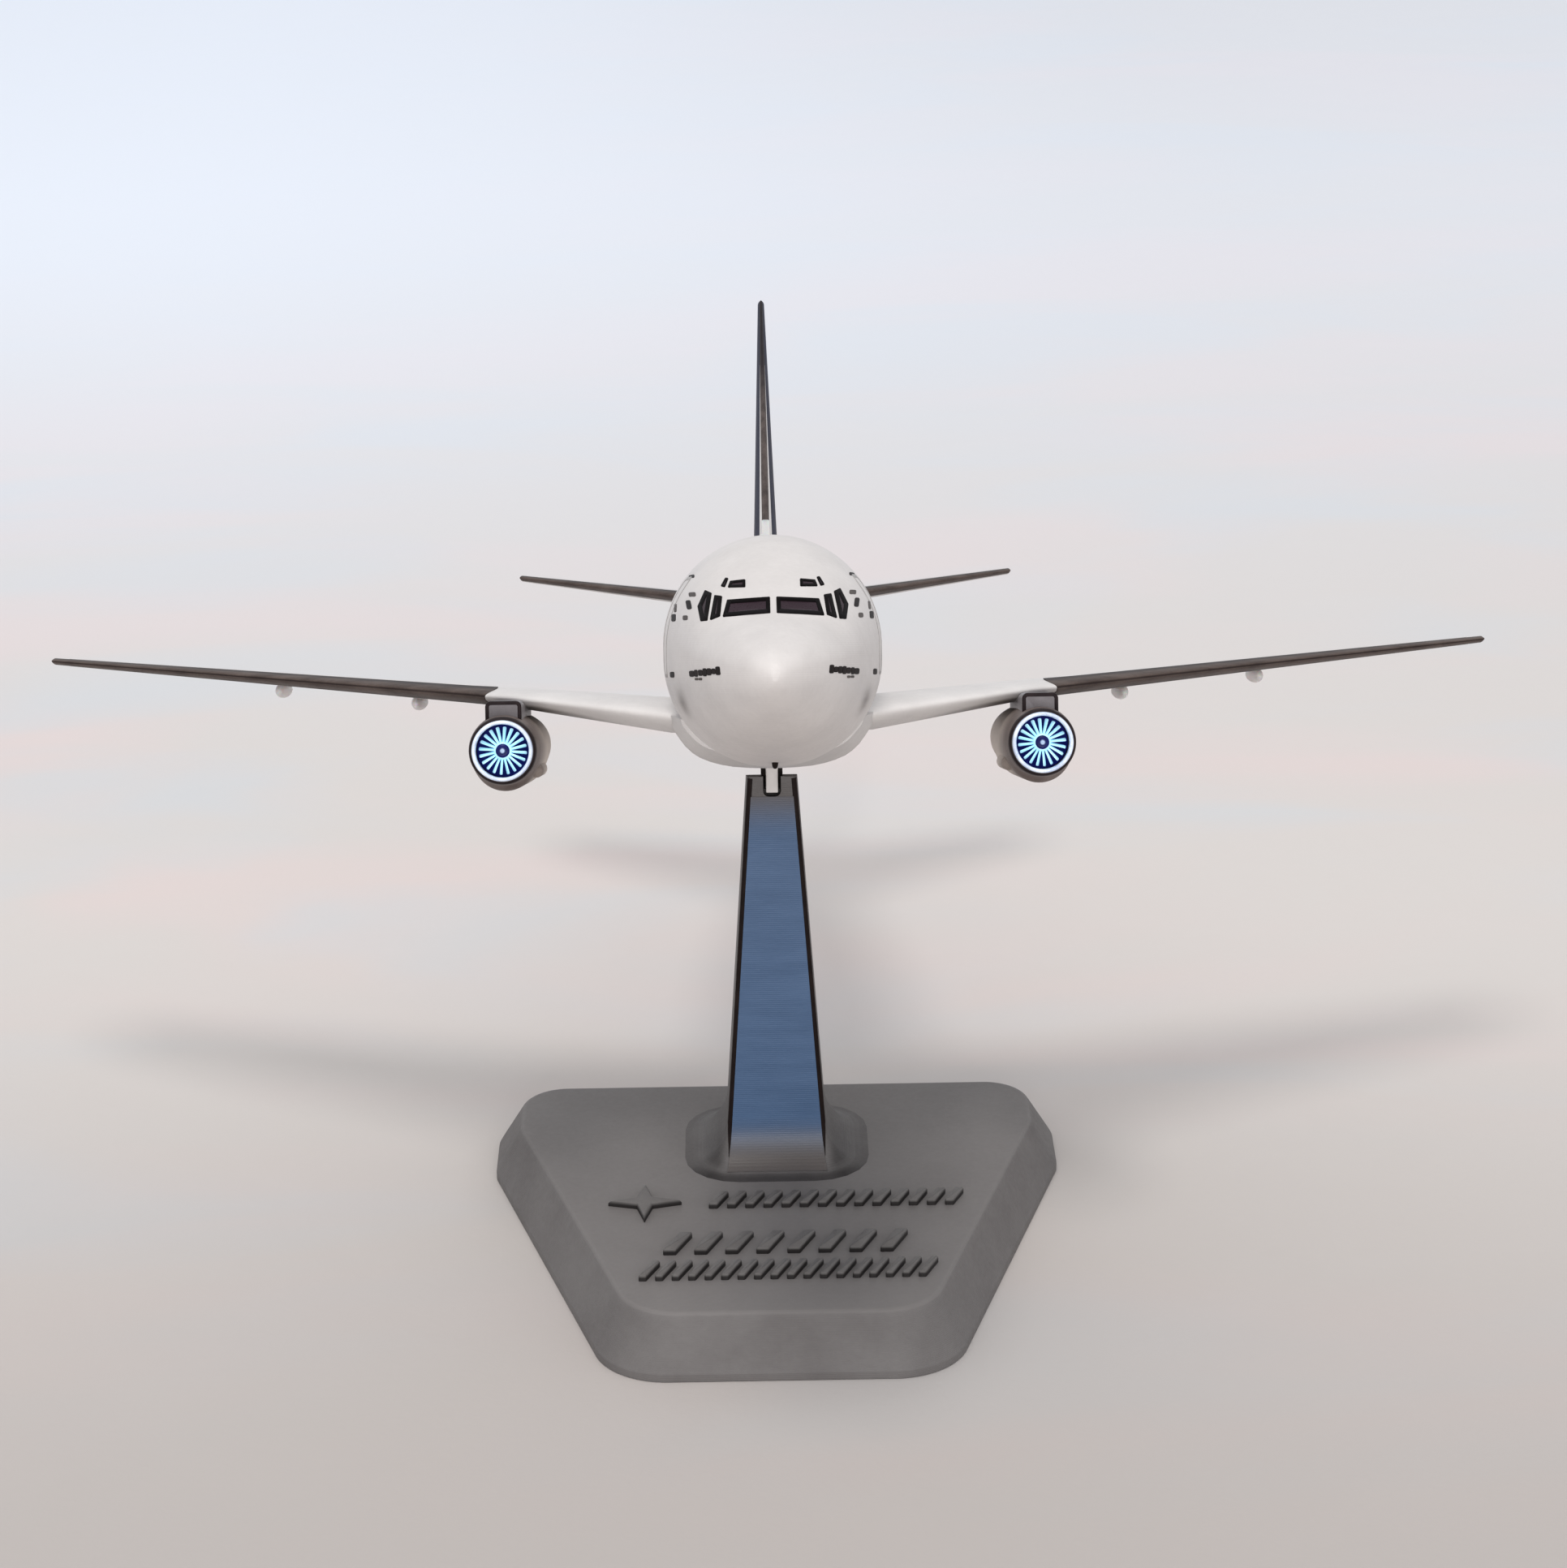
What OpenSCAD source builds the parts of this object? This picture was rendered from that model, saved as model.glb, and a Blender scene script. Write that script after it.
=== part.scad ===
// Desktop airliner model: a twin-engine short-haul airliner on a one-arm stand.
// Origin: centre of the stand's underside. +Z is up and the aircraft's nose points towards -Y.
// Left and right are the aircraft's own, so the left wing is on the +X side.

/* [Stand] */
// Width of the base at its widest line
base_w = 79; // [72:1:90]
// Width of the base along its front edge, before the corners are rounded
base_front_w = 44; // [36:1:52]
// Depth of the base from front to back
base_depth = 73.6; // [68:0.2:80]
// Height of the base
base_h = 8.1; // [7:0.1:10]
// How far the sloping wall leans in from the bottom to the top
base_slope_inset = 3.8; // [2:0.2:5]
// Width of the arm at its shoulder
arm_top_w = 6.5; // [6:0.1:8]
// Width of the arm just above its flared foot
arm_foot_w = 14.2; // [11:0.1:15]
// Height of the arm's front shoulder above the table
shoulder_h = 65.5; // [55:0.5:75]
// Nose-up angle of the aircraft on the stand
nose_up = 20.4; // [10:0.1:25]

/* [Fuselage] */
// Length from the nose to the tail cone's end
fuselage_len = 205; // [200:1:212]
// Width of the fuselage
fuselage_w = 26.1; // [25:0.1:27]
// Height of the fuselage
fuselage_h = 27.8; // [27:0.1:29]

/* [Wings and tail] */
// Span from wing tip to wing tip
wing_span = 196.8; // [180:1:210]
// Span of the tailplane
tail_span = 76.2; // [70:1:82]
// Height of the fin's top above the fuselage centre line
fin_top = 54.8; // [48:0.2:58]

/* [Engines] */
// Distance between the two engine axes
engine_spacing = 68; // [64:0.5:72]
// Number of blades on a fan
blade_count = 20; // [16:1:24]
// Radial gap between a fan's bore and its pin
pin_clearance = 0.05; // [0.02:0.01:0.1]

/* [Hidden] */
$fn = 64;

// Gaps: between flat faces of glued pieces, and around tangs in their pockets
glue_gap = 0.02;
pocket_gap = 0.06;
// Far more than any piece, for cutting tools
far = 300;

// Stand
base_half_w = base_w / 2;
base_front_y = -base_depth / 2;
base_rear_y = base_depth / 2;
base_widest_y = base_rear_y - 16.3;
base_front_r = 10;
base_side_r = 5;
base_rear_r = 14;
base_rim_h = 1.2;
base_corner_steps = 8;
arm_front_y = 8.5;
arm_top_depth = 9;
arm_foot_depth = 12.5;
arm_corner = 1;
arm_flare_r = 5.6;
foot_plate_t = 3.2;
strip_t = 0.6;
strip_margin = 0.75;
strip_bottom_z = base_h + 6.4;
strip_top_z = shoulder_h - 4.2;
relief_h = 0.9;

// Where the stand's shoulder meets the aircraft's own frame
attach_y = 99;
shoulder_drop = 16.5;
neck_w = 2.9;
neck_front_y = 102;
neck_rear_y = 106.6;
neck_top_z = -12.1;
neck_gap = 0.1;
key_slot_w = 2.3;
key_slot_depth = 2.7;
key_w = 1.6;
key_front_y = 99.9;
key_rear_y = 101.6;
key_bottom_z = -shoulder_drop - 2.2;

// Fuselage, in the aircraft's own frame: X span, Y aft from the nose, Z up from the centre line
body_r = fuselage_w / 2;
body_flat = (fuselage_h - fuselage_w) / 2;
body_top = fuselage_h / 2;
nose_len = 46;
tail_start = 128;
cone_start = fuselage_len - 5;
nose_tip_z = -2.9;
sleeve_r = 10.45;
sleeve_wall = 1.6;
sleeve_half = 6;
body_bore_r = sleeve_r + glue_gap;
ring_step = 10;
nose_stations = [0.05, 0.6, 2, 5, 9, 13, 17.5, 22, 28, 36, 46];
crown_line = [
    [0.05, -2.6], [0.6, -1.4], [2, -0.1], [5, 1.5], [9, 2.9], [13, 4.1],
    [17.5, 6.6], [22, 9.1], [28, 11.5], [36, 13.3], [46, body_top]
];

// Cabin windows
window_pitch = 3.5;
window_z = 2.6;
window_first_y = 51;
window_last_y = 123.5;
window_len = 1.3;
window_h = 1.9;

// Wing: sections as [x, leading edge y, chord, thickness, z]
wing_root_x = 8.6;
engine_x = engine_spacing / 2;
wing_sections = [
    [wing_root_x, 73, 46, 4.6, -8],
    [13, 73, 46, 4.6, -8],
    [engine_x, 84, 33, 2.6, -5.4],
    [wing_span / 2, 119, 10.5, 0.95, 0.3]
];
slat_chord = 0.13;
slat_start_x = engine_x + 2.4;
spar_y = 92;
spar_z = -7.6;
spar_len = 36;
spar_w = 3;
spar_h = 1.4;
flap_fairing_x = [47.5, 66.5];
flap_fairing_r = 1.05;

// Engines
engine_z = -12;
inlet_y = 69.6;
ring_len = 1.5;
ring_out_r = 3.84;
ring_in_r = 3.36;
fan_y = 71.3;
fan_len = 1;
fan_r = 3.05;
fan_hub_r = 1.15;
blade_w = 0.42;
blade_pitch = 28;
pin_r = 0.3;
pin_head_r = 0.36;
spinner_r = 0.9;
backplate_y = 73;
backplate_t = 1;
nacelle_end_y = 117;
exhaust_end_y = 122;

// Tailplane and fin: sections as for the wing; the fin's run up Z instead of X
tail_root_x = 2.4;
tail_sections = [
    [tail_root_x, 172, 27, 2.2, 8.1],
    [8, 174, 26, 2.2, 8.1],
    [tail_span / 2, 194.5, 9, 0.95, 12.3]
];
tail_edge_chord = 0.12;
rod_r = 0.55;
rod_len = 20;
rod_y = 184;
fin_pocket_z = 10;
fin_sections = [
    [fin_pocket_z, 156, 42, 3.6],
    [14.6, 156, 42, 3.6],
    [fin_top, 196, 13, 0.95]
];
fin_edge_chord = 0.1;

function lerp(a, b, t) = a + (b - a) * t;
function between(v, a, b) = max(0, min(1, (v - a) / (b - a)));
function ease(t) = t * t * (3 - 2 * t);

// Points of a rounded polygon: each corner is [x, y, radius], taken anticlockwise
function unit(v) = v / norm(v);
function corner_arc(before, here, after) =
    let (
        p = [here[0], here[1]],
        a = unit([before[0], before[1]] - p),
        b = unit([after[0], after[1]] - p),
        half = acos(a * b) / 2,
        centre = p + unit(a + b) * here[2] / sin(half),
        start = p + a * here[2] / tan(half) - centre,
        start_angle = atan2(start[1], start[0]),
        sweep = 180 - 2 * half
    )
    [for (i = [0:base_corner_steps])
        let (angle = start_angle + sweep * i / base_corner_steps)
        centre + here[2] * [cos(angle), sin(angle)]];
function rounded_outline(corners) =
    let (n = len(corners))
    [for (i = [0:n - 1]) each corner_arc(corners[(i + n - 1) % n], corners[i], corners[(i + 1) % n])];

// Skins a closed solid over rings that have the same number of points. Seen from the
// last ring, the points of each ring run anticlockwise.
module loft(rings) {
    n = len(rings[0]);
    last = len(rings) - 1;
    sides = [for (r = [0:last - 1], i = [0:n - 1])
        let (a = r * n + i, b = r * n + (i + 1) % n)
        each [[a, a + n, b], [b, a + n, b + n]]];
    first_cap = [for (i = [0:n - 1]) i];
    last_cap = [for (i = [n - 1:-1:0]) last * n + i];
    polyhedron([for (ring = rings) each ring], concat(sides, [first_cap, last_cap]), convexity = 6);
}

// Carries a piece from the aircraft's own frame to its place on the stand
module on_stand() {
    translate([0, arm_front_y, shoulder_h])
        rotate([-nose_up, 0, 0])
            translate([0, -attach_y, shoulder_drop])
                children();
}

module right_side() {
    mirror([1, 0, 0]) children();
}

// ---------- Stand ----------

function base_outline(inset) =
    let (
        side_lean = inset / cos(atan2(base_half_w - base_front_w / 2, base_widest_y - base_front_y)),
        front_x = base_front_w / 2 - side_lean + inset * 0.3,
        wide_x = base_half_w - inset
    )
    rounded_outline([
        [-front_x, base_front_y + inset, base_front_r - inset / 2],
        [front_x, base_front_y + inset, base_front_r - inset / 2],
        [wide_x, base_widest_y, base_side_r],
        [wide_x, base_rear_y - inset, base_rear_r - inset],
        [-wide_x, base_rear_y - inset, base_rear_r - inset],
        [-wide_x, base_widest_y, base_side_r]
    ]);

function at_height(outline, z) = [for (p = outline) [p[0], p[1], z]];

// Rectangle with clipped corners at one height of the arm
function arm_ring(half_w, front_y, rear_y, z) =
    let (c = arm_corner)
    [
        [-half_w + c, front_y, z], [half_w - c, front_y, z],
        [half_w, front_y + c, z], [half_w, rear_y - c, z],
        [half_w - c, rear_y, z], [-half_w + c, rear_y, z],
        [-half_w, rear_y - c, z], [-half_w, front_y + c, z]
    ];

function arm_half_w(z) = lerp(arm_foot_w, arm_top_w, (z - base_h) / (shoulder_h - base_h)) / 2;
function arm_rear_y(z) =
    arm_front_y + lerp(arm_foot_depth, arm_top_depth, (z - base_h) / (shoulder_h - base_h));
function arm_flare(z) =
    z > base_h + arm_flare_r ? 0 : arm_flare_r - sqrt(pow(arm_flare_r, 2) - pow(base_h + arm_flare_r - z, 2));
function arm_section(z) =
    arm_ring(arm_half_w(z) + arm_flare(z), arm_front_y - arm_flare(z), arm_rear_y(z) + arm_flare(z), z);

foot_half_w = arm_half_w(base_h) + arm_flare_r;
foot_front_y = arm_front_y - arm_flare_r;
foot_rear_y = arm_rear_y(base_h) + arm_flare_r;

// The foot plate under the flare, or the pocket it sits in when it is grown by a gap
module foot_plate(gap) {
    translate([-foot_half_w - gap, foot_front_y - gap, base_h - foot_plate_t - gap])
        cube([2 * (foot_half_w + gap), foot_rear_y - foot_front_y + 2 * gap, foot_plate_t + gap]);
}

module stand_base() {
    color("#656360")
        difference() {
            union() {
                linear_extrude(base_rim_h)
                    polygon(base_outline(0));
                loft([
                    at_height(base_outline(0), base_rim_h),
                    at_height(base_outline(base_slope_inset), base_h)
                ]);
            }
            translate([0, 0, glue_gap]) foot_plate(pocket_gap);
        }
}

module strip_blank() {
    low = arm_half_w(strip_bottom_z) - strip_margin;
    high = arm_half_w(strip_top_z) - strip_margin;
    translate([0, arm_front_y + strip_t, 0])
        rotate([90, 0, 0])
            linear_extrude(strip_t)
                polygon([
                    [-low, strip_bottom_z], [low, strip_bottom_z],
                    [high, strip_top_z], [-high, strip_top_z]
                ]);
}

module arm_face_strip() {
    color("#4a6690") strip_blank();
}

module stand_arm() {
    steps = 6;
    flare_heights = [for (i = [0:steps]) base_h + arm_flare_r * (1 - cos(90 * i / steps))];
    rings = [for (z = concat(flare_heights, [shoulder_h + 6])) arm_section(z)];
    color("#656360")
        difference() {
            union() {
                foot_plate(0);
                difference() {
                    loft(rings);
                    on_stand()
                        translate([-far / 2, 0, -shoulder_drop])
                            cube(far);
                }
                on_stand()
                    translate([-neck_w / 2, neck_front_y, -shoulder_drop - 2])
                        cube([neck_w, neck_rear_y - neck_front_y, neck_top_z + shoulder_drop + 2]);
            }
            strip_blank();
            on_stand()
                translate([-key_slot_w / 2, attach_y - 5, -shoulder_drop - key_slot_depth])
                    cube([key_slot_w, 5 + neck_front_y - attach_y, far]);
        }
}

// A leaning bar of raised relief
module relief_bar(x, y, len, h) {
    lean = 0.45 * h;
    translate([x, y, base_h])
        linear_extrude(relief_h)
            polygon([[0, 0], [len, 0], [len + lean, h], [lean, h]]);
}

module relief_row(x, y, count, pitch, len, h) {
    for (i = [0:count - 1]) relief_bar(x + i * pitch, y, len, h);
}

module base_relief_bars() {
    color("#565452") {
        relief_row(-9.5, -4.7, 14, 2.45, 1.3, 3.6);
        relief_row(-15.5, -17.6, 8, 4.1, 1.8, 5);
        relief_row(-18.6, -24.6, 18, 2.15, 1.1, 4.2);
    }
}

module base_emblem() {
    star_r = 5;
    waist_r = 1.5;
    color("#565452")
        translate([-18, -3.4, base_h])
            linear_extrude(relief_h)
                polygon([for (i = [0:7])
                    let (r = i % 2 == 0 ? star_r : waist_r)
                    r * [cos(45 * i), sin(45 * i)]]);
}

// ---------- Fuselage ----------

// One cross-section: half ellipses above and below a short straight side
function body_ring(y, half_w, top, bottom, middle) =
    let (flat = body_flat * half_w / body_r)
    [for (a = [0:ring_step:359])
        sin(a) >= 0
            ? [-half_w * cos(a), y, middle + flat + sin(a) * (top - middle - flat)]
            : [-half_w * cos(a), y, middle - flat + sin(a) * (middle - flat - bottom)]];

function nose_swell(y, power) = pow(1 - pow(1 - min(y / nose_len, 1), 2), power);
function nose_ring(y) =
    body_ring(
        y,
        body_r * nose_swell(y, 0.6),
        lookup(y, crown_line),
        nose_tip_z - 0.2 - (body_top + nose_tip_z - 0.2) * nose_swell(y, 0.56),
        nose_tip_z * (1 - pow(y / nose_len, 0.6))
    );

function tail_t(y) = (y - tail_start) / (fuselage_len - tail_start);
function tail_half_w(y) = 1.7 + (body_r - 1.7) * pow(1 - pow(tail_t(y), 1.75), 1.1);
function tail_top(y) = body_top - 3.3 * ease(between(tail_t(y), 0.4, 1.1));
function tail_bottom(y) = -body_top + 20.3 * pow(tail_t(y), 1.35);
function tail_ring(y) =
    body_ring(
        y,
        tail_half_w(y),
        tail_top(y),
        tail_bottom(y),
        lerp(0, (tail_top(y) + tail_bottom(y)) / 2, pow(tail_t(y), 0.5))
    );

module nose_solid() {
    loft([for (y = nose_stations) nose_ring(y)]);
}

module along_body(y, len, r) {
    translate([0, y + len, 0])
        rotate([90, 0, 0])
            cylinder(h = len, r = r);
}

// Windscreen and eyebrow outlines as [x, z] seen from ahead, for the +X side
centre_pane = [[0.35, 4.1], [5.75, 3.75], [5.2, 5.75], [0.35, 6.0]];
front_side_pane = [[6.0, 3.85], [7.2, 3.4], [6.65, 6.35], [5.75, 6.2]];
rear_side_pane = [[7.45, 3.4], [8.25, 3.35], [8.6, 5.1], [7.75, 7.0], [6.95, 6.6]];
inner_eyebrow = [[3.1, 7.15], [5.15, 7.15], [4.85, 7.95], [3.1, 8.1]];
outer_eyebrow = [[5.45, 7.2], [5.95, 7.35], [5.4, 8.35], [5.0, 8.3]];

module pane_tool(outline, depth_y) {
    translate([0, depth_y, 0])
        rotate([90, 0, 0])
            linear_extrude(depth_y)
                polygon(outline);
}

module both_sides() {
    children();
    mirror([1, 0, 0]) children();
}

module windscreen_tools() {
    both_sides() {
        pane_tool(centre_pane, 20.5);
        pane_tool(front_side_pane, 23);
        pane_tool(rear_side_pane, 26);
    }
}

module eyebrow_tools() {
    both_sides() {
        pane_tool(inner_eyebrow, 25);
        pane_tool(outer_eyebrow, 27);
    }
}

module windscreen_panes() {
    color("#241a26")
        on_stand()
            intersection() {
                nose_solid();
                windscreen_tools();
            }
}

module eyebrow_windows() {
    color("#241a26")
        on_stand()
            intersection() {
                nose_solid();
                eyebrow_tools();
            }
}

module fuselage_nose() {
    color("#e6e2de")
        on_stand()
            difference() {
                nose_solid();
                windscreen_tools();
                eyebrow_tools();
                along_body(nose_len - sleeve_half - 1, sleeve_half + 2, body_bore_r);
            }
}

module body_prism(y, len, gap = 0) {
    r = body_r + gap;
    translate([0, y + len, 0])
        rotate([90, 0, 0])
            linear_extrude(len)
                union() {
                    translate([0, body_flat]) circle(r);
                    translate([0, -body_flat]) circle(r);
                    translate([-r, -body_flat]) square([2 * r, 2 * body_flat]);
                }
}

// One window strip: a bar inside the wall with a window standing out at each opening
module window_strip(gap) {
    inner_x = 10.5;
    bar_x = 11.4;
    translate([inner_x - gap, window_first_y - 1.5 - gap, window_z - 1.4 - gap])
        cube([bar_x - inner_x + 2 * gap, window_last_y - window_first_y + 4 + 2 * gap, 2.8 + 2 * gap]);
    for (y = [window_first_y:window_pitch:window_last_y])
        translate([bar_x - 0.1, y - window_len / 2 - gap, window_z - window_h / 2 - gap])
            cube([12.7 - bar_x + 0.1 + (gap > 0 ? 1 : 0), window_len + 2 * gap, window_h + 2 * gap]);
}

module left_window_strip() {
    color("#1c1f26") on_stand() window_strip(0);
}

module right_window_strip() {
    color("#1c1f26") on_stand() right_side() window_strip(0);
}

module neck_socket() {
    translate([-neck_w / 2 - neck_gap, neck_front_y - neck_gap, -far / 10])
        cube([
            neck_w + 2 * neck_gap,
            neck_rear_y - neck_front_y + 2 * neck_gap,
            far / 10 + neck_top_z + neck_gap
        ]);
}

module fuselage_mid() {
    joint_gap = glue_gap;
    color("#e6e2de")
        on_stand()
            difference() {
                body_prism(nose_len + joint_gap, tail_start - nose_len - 2 * joint_gap);
                along_body(nose_len - 1, tail_start - nose_len + 2, body_bore_r);
                both_sides() {
                    window_strip(glue_gap);
                    wing_root_tool(pocket_gap);
                }
                spar_blank(pocket_gap);
                neck_socket();
            }
}

module fuselage_tail() {
    color("#e6e2de")
        on_stand()
            difference() {
                loft([for (i = [0:12]) tail_ring(lerp(tail_start, cone_start, i / 12))]);
                along_body(tail_start - 1, sleeve_half + 2, body_bore_r);
                fin_root_tool(pocket_gap);
                dorsal_blank(pocket_gap);
                both_sides() tail_root_tool(pocket_gap);
                translate([-rod_len / 2, rod_y, tail_sections[0][4]])
                    rotate([0, 90, 0])
                        cylinder(h = rod_len, r = rod_r + pocket_gap);
            }
}

module tail_cone() {
    exhaust_r = 1.1;
    exhaust_depth = 3;
    color("#8b8783")
        on_stand()
            difference() {
                loft([for (y = [cone_start + glue_gap, lerp(cone_start, fuselage_len, 0.6), fuselage_len - 0.2])
                    tail_ring(y)]);
                translate([0, fuselage_len + 1, (tail_top(fuselage_len) + tail_bottom(fuselage_len)) / 2])
                    rotate([90, 0, 0])
                        cylinder(h = exhaust_depth + 1, r = exhaust_r);
            }
}

module joint_sleeve(joint_y) {
    color("#d8d4cf")
        on_stand()
            difference() {
                along_body(joint_y - sleeve_half, 2 * sleeve_half, sleeve_r);
                along_body(joint_y - sleeve_half - 1, 2 * sleeve_half + 2, sleeve_r - sleeve_wall);
            }
}

module front_joint_sleeve() {
    joint_sleeve(nose_len);
}

module rear_joint_sleeve() {
    joint_sleeve(tail_start);
}

// Shallow tray under the wing roots, with the key that drops into the stand's slot
module belly_fairing() {
    front_y = 66;
    rear_y = 127;
    half_w = 12;
    top_z = -10.9;
    bottom_z = -14.9;
    side = [
        [half_w, top_z], [half_w - 0.8, top_z - 1.1], [half_w - 1.8, top_z - 2.1],
        [half_w - 3.4, top_z - 2.9], [half_w - 5.4, bottom_z + 0.6],
        [half_w - 7.6, bottom_z + 0.25], [half_w - 9.5, bottom_z]
    ];
    section = concat(side, [for (i = [len(side) - 1:-1:0]) [-side[i][0], side[i][1]]]);
    color("#e0dcd8")
        on_stand() {
            difference() {
                translate([0, rear_y, 0])
                    rotate([90, 0, 0])
                        linear_extrude(rear_y - front_y)
                            polygon(section);
                body_prism(front_y - 1, rear_y - front_y + 2, glue_gap);
                neck_socket();
                fairing_end_cut(front_y, 1);
                fairing_end_cut(rear_y, -1);
            }
            translate([-key_w / 2, key_front_y, key_bottom_z])
                cube([key_w, key_rear_y - key_front_y, bottom_z + 0.3 - key_bottom_z]);
        }
}

// Slopes the fairing's underside up towards one of its ends
module fairing_end_cut(y, direction) {
    slope_len = 9;
    slope_h = 3.6;
    translate([far / 2, y, -15.1])
        rotate([0, -90, 0])
            linear_extrude(far)
                polygon([[-1, -direction], [-1, direction * slope_len], [0, direction * slope_len],
                    [slope_h, -direction]]);
}

module belly_antenna() {
    antenna_y = 29;
    antenna_r = 0.5;
    antenna_top_z = -13.16;
    color("#4b4746")
        on_stand()
            translate([0, antenna_y, antenna_top_z - 0.6])
                cylinder(h = 0.6, r = antenna_r);
}

// ---------- Wings ----------

function profile_half(c, thickness) =
    max(0.11, 5 * thickness * (0.2969 * sqrt(c) - 0.126 * c - 0.3516 * pow(c, 2)
        + 0.2843 * pow(c, 3) - 0.1036 * pow(c, 4)));

// Profile points as [aft, up] between two chord fractions, nose point first when it is included
function profile(chord, thickness, from, to, steps = 12) =
    let (
        at = [for (i = [0:steps]) lerp(from, to, (1 - cos(90 * i / steps)))],
        first = from == 0 ? 1 : 0,
        upper = [for (i = [first:steps]) [at[i] * chord, profile_half(at[i], thickness)]],
        lower = [for (i = [steps:-1:first]) [at[i] * chord, -profile_half(at[i], thickness)]]
    )
    concat(from == 0 ? [[0, 0]] : [], upper, lower);

function wing_section(s, from, to, grow = 0) =
    [for (p = profile(s[2], s[3] + grow, from, to)) [s[0], s[1] + p[0], s[4] - p[1]]];

// Section of a wing or tailplane part way between two listed sections
function section_at(sections, i, x) =
    lerp(sections[i], sections[i + 1], (x - sections[i][0]) / (sections[i + 1][0] - sections[i][0]));

// Straight tool along X that follows the root section of a wing or tailplane
module root_tool(s, length, gap) {
    translate([s[0] - gap, s[1] - gap, s[4]])
        rotate([0, 90, 0])
            rotate([0, 0, 90])
                linear_extrude(length)
                    polygon(profile(s[2] + 2 * gap, s[3] + 3 * gap, 0, 1));
}

module wing_root_tool(gap) {
    root_tool(wing_sections[0], 10, gap);
}

module tail_root_tool(gap) {
    root_tool(tail_sections[0], 10, gap);
}

module wing_solid() {
    loft([for (s = wing_sections) wing_section(s, 0, 1)]);
}

// Room for the slat: everything ahead of its rear face, outboard of its inner end
module slat_room() {
    inner = section_at(wing_sections, 2, slat_start_x);
    tip = wing_sections[3];
    outer = section_at(wing_sections, 2, tip[0] + 2);
    translate([0, 0, -10])
        linear_extrude(20)
            polygon([
                [inner[0], inner[1] - 5], [outer[0], outer[1] - 5],
                [outer[0], outer[1] + slat_chord * outer[2]],
                [inner[0], inner[1] + slat_chord * inner[2]]
            ]);
}

module spar_blank(gap) {
    translate([-spar_len / 2 - gap, spar_y - spar_w / 2 - gap, spar_z - spar_h / 2 - gap])
        cube([spar_len + 2 * gap, spar_w + 2 * gap, spar_h + 2 * gap]);
}

module wing() {
    color("#dcd9d6")
        difference() {
            wing_solid();
            slat_room();
            spar_blank(pocket_gap);
        }
}

module left_wing() {
    on_stand() wing();
}

module right_wing() {
    on_stand() right_side() wing();
}

module wing_spar() {
    color("#b9b5b0") on_stand() spar_blank(0);
}

module slat() {
    color("#6d625c")
        loft([
            wing_section(section_at(wing_sections, 2, slat_start_x + glue_gap), 0, slat_chord - 0.002, 0.25),
            wing_section(wing_sections[3], 0, slat_chord - 0.004, 0.1)
        ]);
}

module left_slat() {
    on_stand() slat();
}

module right_slat() {
    on_stand() right_side() slat();
}

// Canoe-shaped fairing under the wing's trailing edge
module flap_fairing(x) {
    s = section_at(wing_sections, 2, x);
    front_y = s[1] + 0.5 * s[2];
    rear_y = s[1] + s[2] + 2.5;
    r = flap_fairing_r;
    difference() {
        translate([x, 0, s[4] - s[3] / 2 - 0.85]) {
            along_body(front_y + r, rear_y - front_y - 2 * r, r);
            translate([0, front_y + r, 0]) sphere(r);
            translate([0, rear_y - r, 0]) sphere(r);
        }
        translate([x - 2 * r, 0, s[4] - s[3] / 2 - glue_gap])
            cube([4 * r, far, 4 * r]);
    }
}

module flap_fairings() {
    color("#efece8") for (x = flap_fairing_x) flap_fairing(x);
}

module left_flap_fairings() {
    on_stand() flap_fairings();
}

module right_flap_fairings() {
    on_stand() right_side() flap_fairings();
}

// ---------- Engines ----------

module at_engine(y) {
    translate([engine_x, y, engine_z])
        rotate([-90, 0, 0])
            children();
}

nacelle_outline = [[4.05, 0.6], [4.3, 2], [4.6, 8], [4.75, 16], [4.7, 26], [4.35, 38], [3.9, 46.6]];

module nacelle_envelope(gap) {
    at_engine(inlet_y + 0.4)
        rotate_extrude()
            polygon(concat(
                [[0, 0.6]],
                [for (p = nacelle_outline) [p[0] + gap, p[1]]],
                [[0, 46.6]]
            ));
}

module nacelle() {
    chin_r = 4.1;
    chin_drop = 1.15;
    bump_r = 0.95;
    color("#7d7570")
        difference() {
            union() {
                nacelle_envelope(0);
                translate([engine_x, 0, engine_z - chin_drop]) {
                    along_body(77, 24, chin_r);
                    translate([0, 77, 0]) sphere(chin_r);
                    translate([0, 101, 0]) sphere(chin_r);
                }
                translate([engine_x - 3.75, 0, engine_z - 2.75]) {
                    along_body(80, 10, bump_r);
                    translate([0, 80, 0]) sphere(bump_r);
                    translate([0, 90, 0]) sphere(bump_r);
                }
            }
            at_engine(inlet_y)
                cylinder(h = ring_len + glue_gap, r = ring_out_r + glue_gap);
            at_engine(inlet_y)
                cylinder(h = backplate_y - inlet_y + backplate_t + glue_gap, r = ring_in_r + glue_gap);
            at_engine(backplate_y)
                cylinder(h = 8, r = pin_r + glue_gap);
            at_engine(nacelle_end_y - 9)
                cylinder(h = 20, r = 3.2);
        }
}

module left_nacelle() {
    on_stand() nacelle();
}

module right_nacelle() {
    on_stand() right_side() nacelle();
}

module inlet_ring() {
    color("#eef3f8")
        at_engine(inlet_y)
            rotate_extrude()
                polygon([
                    [ring_in_r, ring_len], [ring_in_r, 0.25], [ring_in_r + 0.15, 0],
                    [ring_out_r - 0.15, 0], [ring_out_r, 0.25], [ring_out_r, ring_len]
                ]);
}

module left_inlet_ring() {
    on_stand() inlet_ring();
}

module right_inlet_ring() {
    on_stand() right_side() inlet_ring();
}

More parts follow.
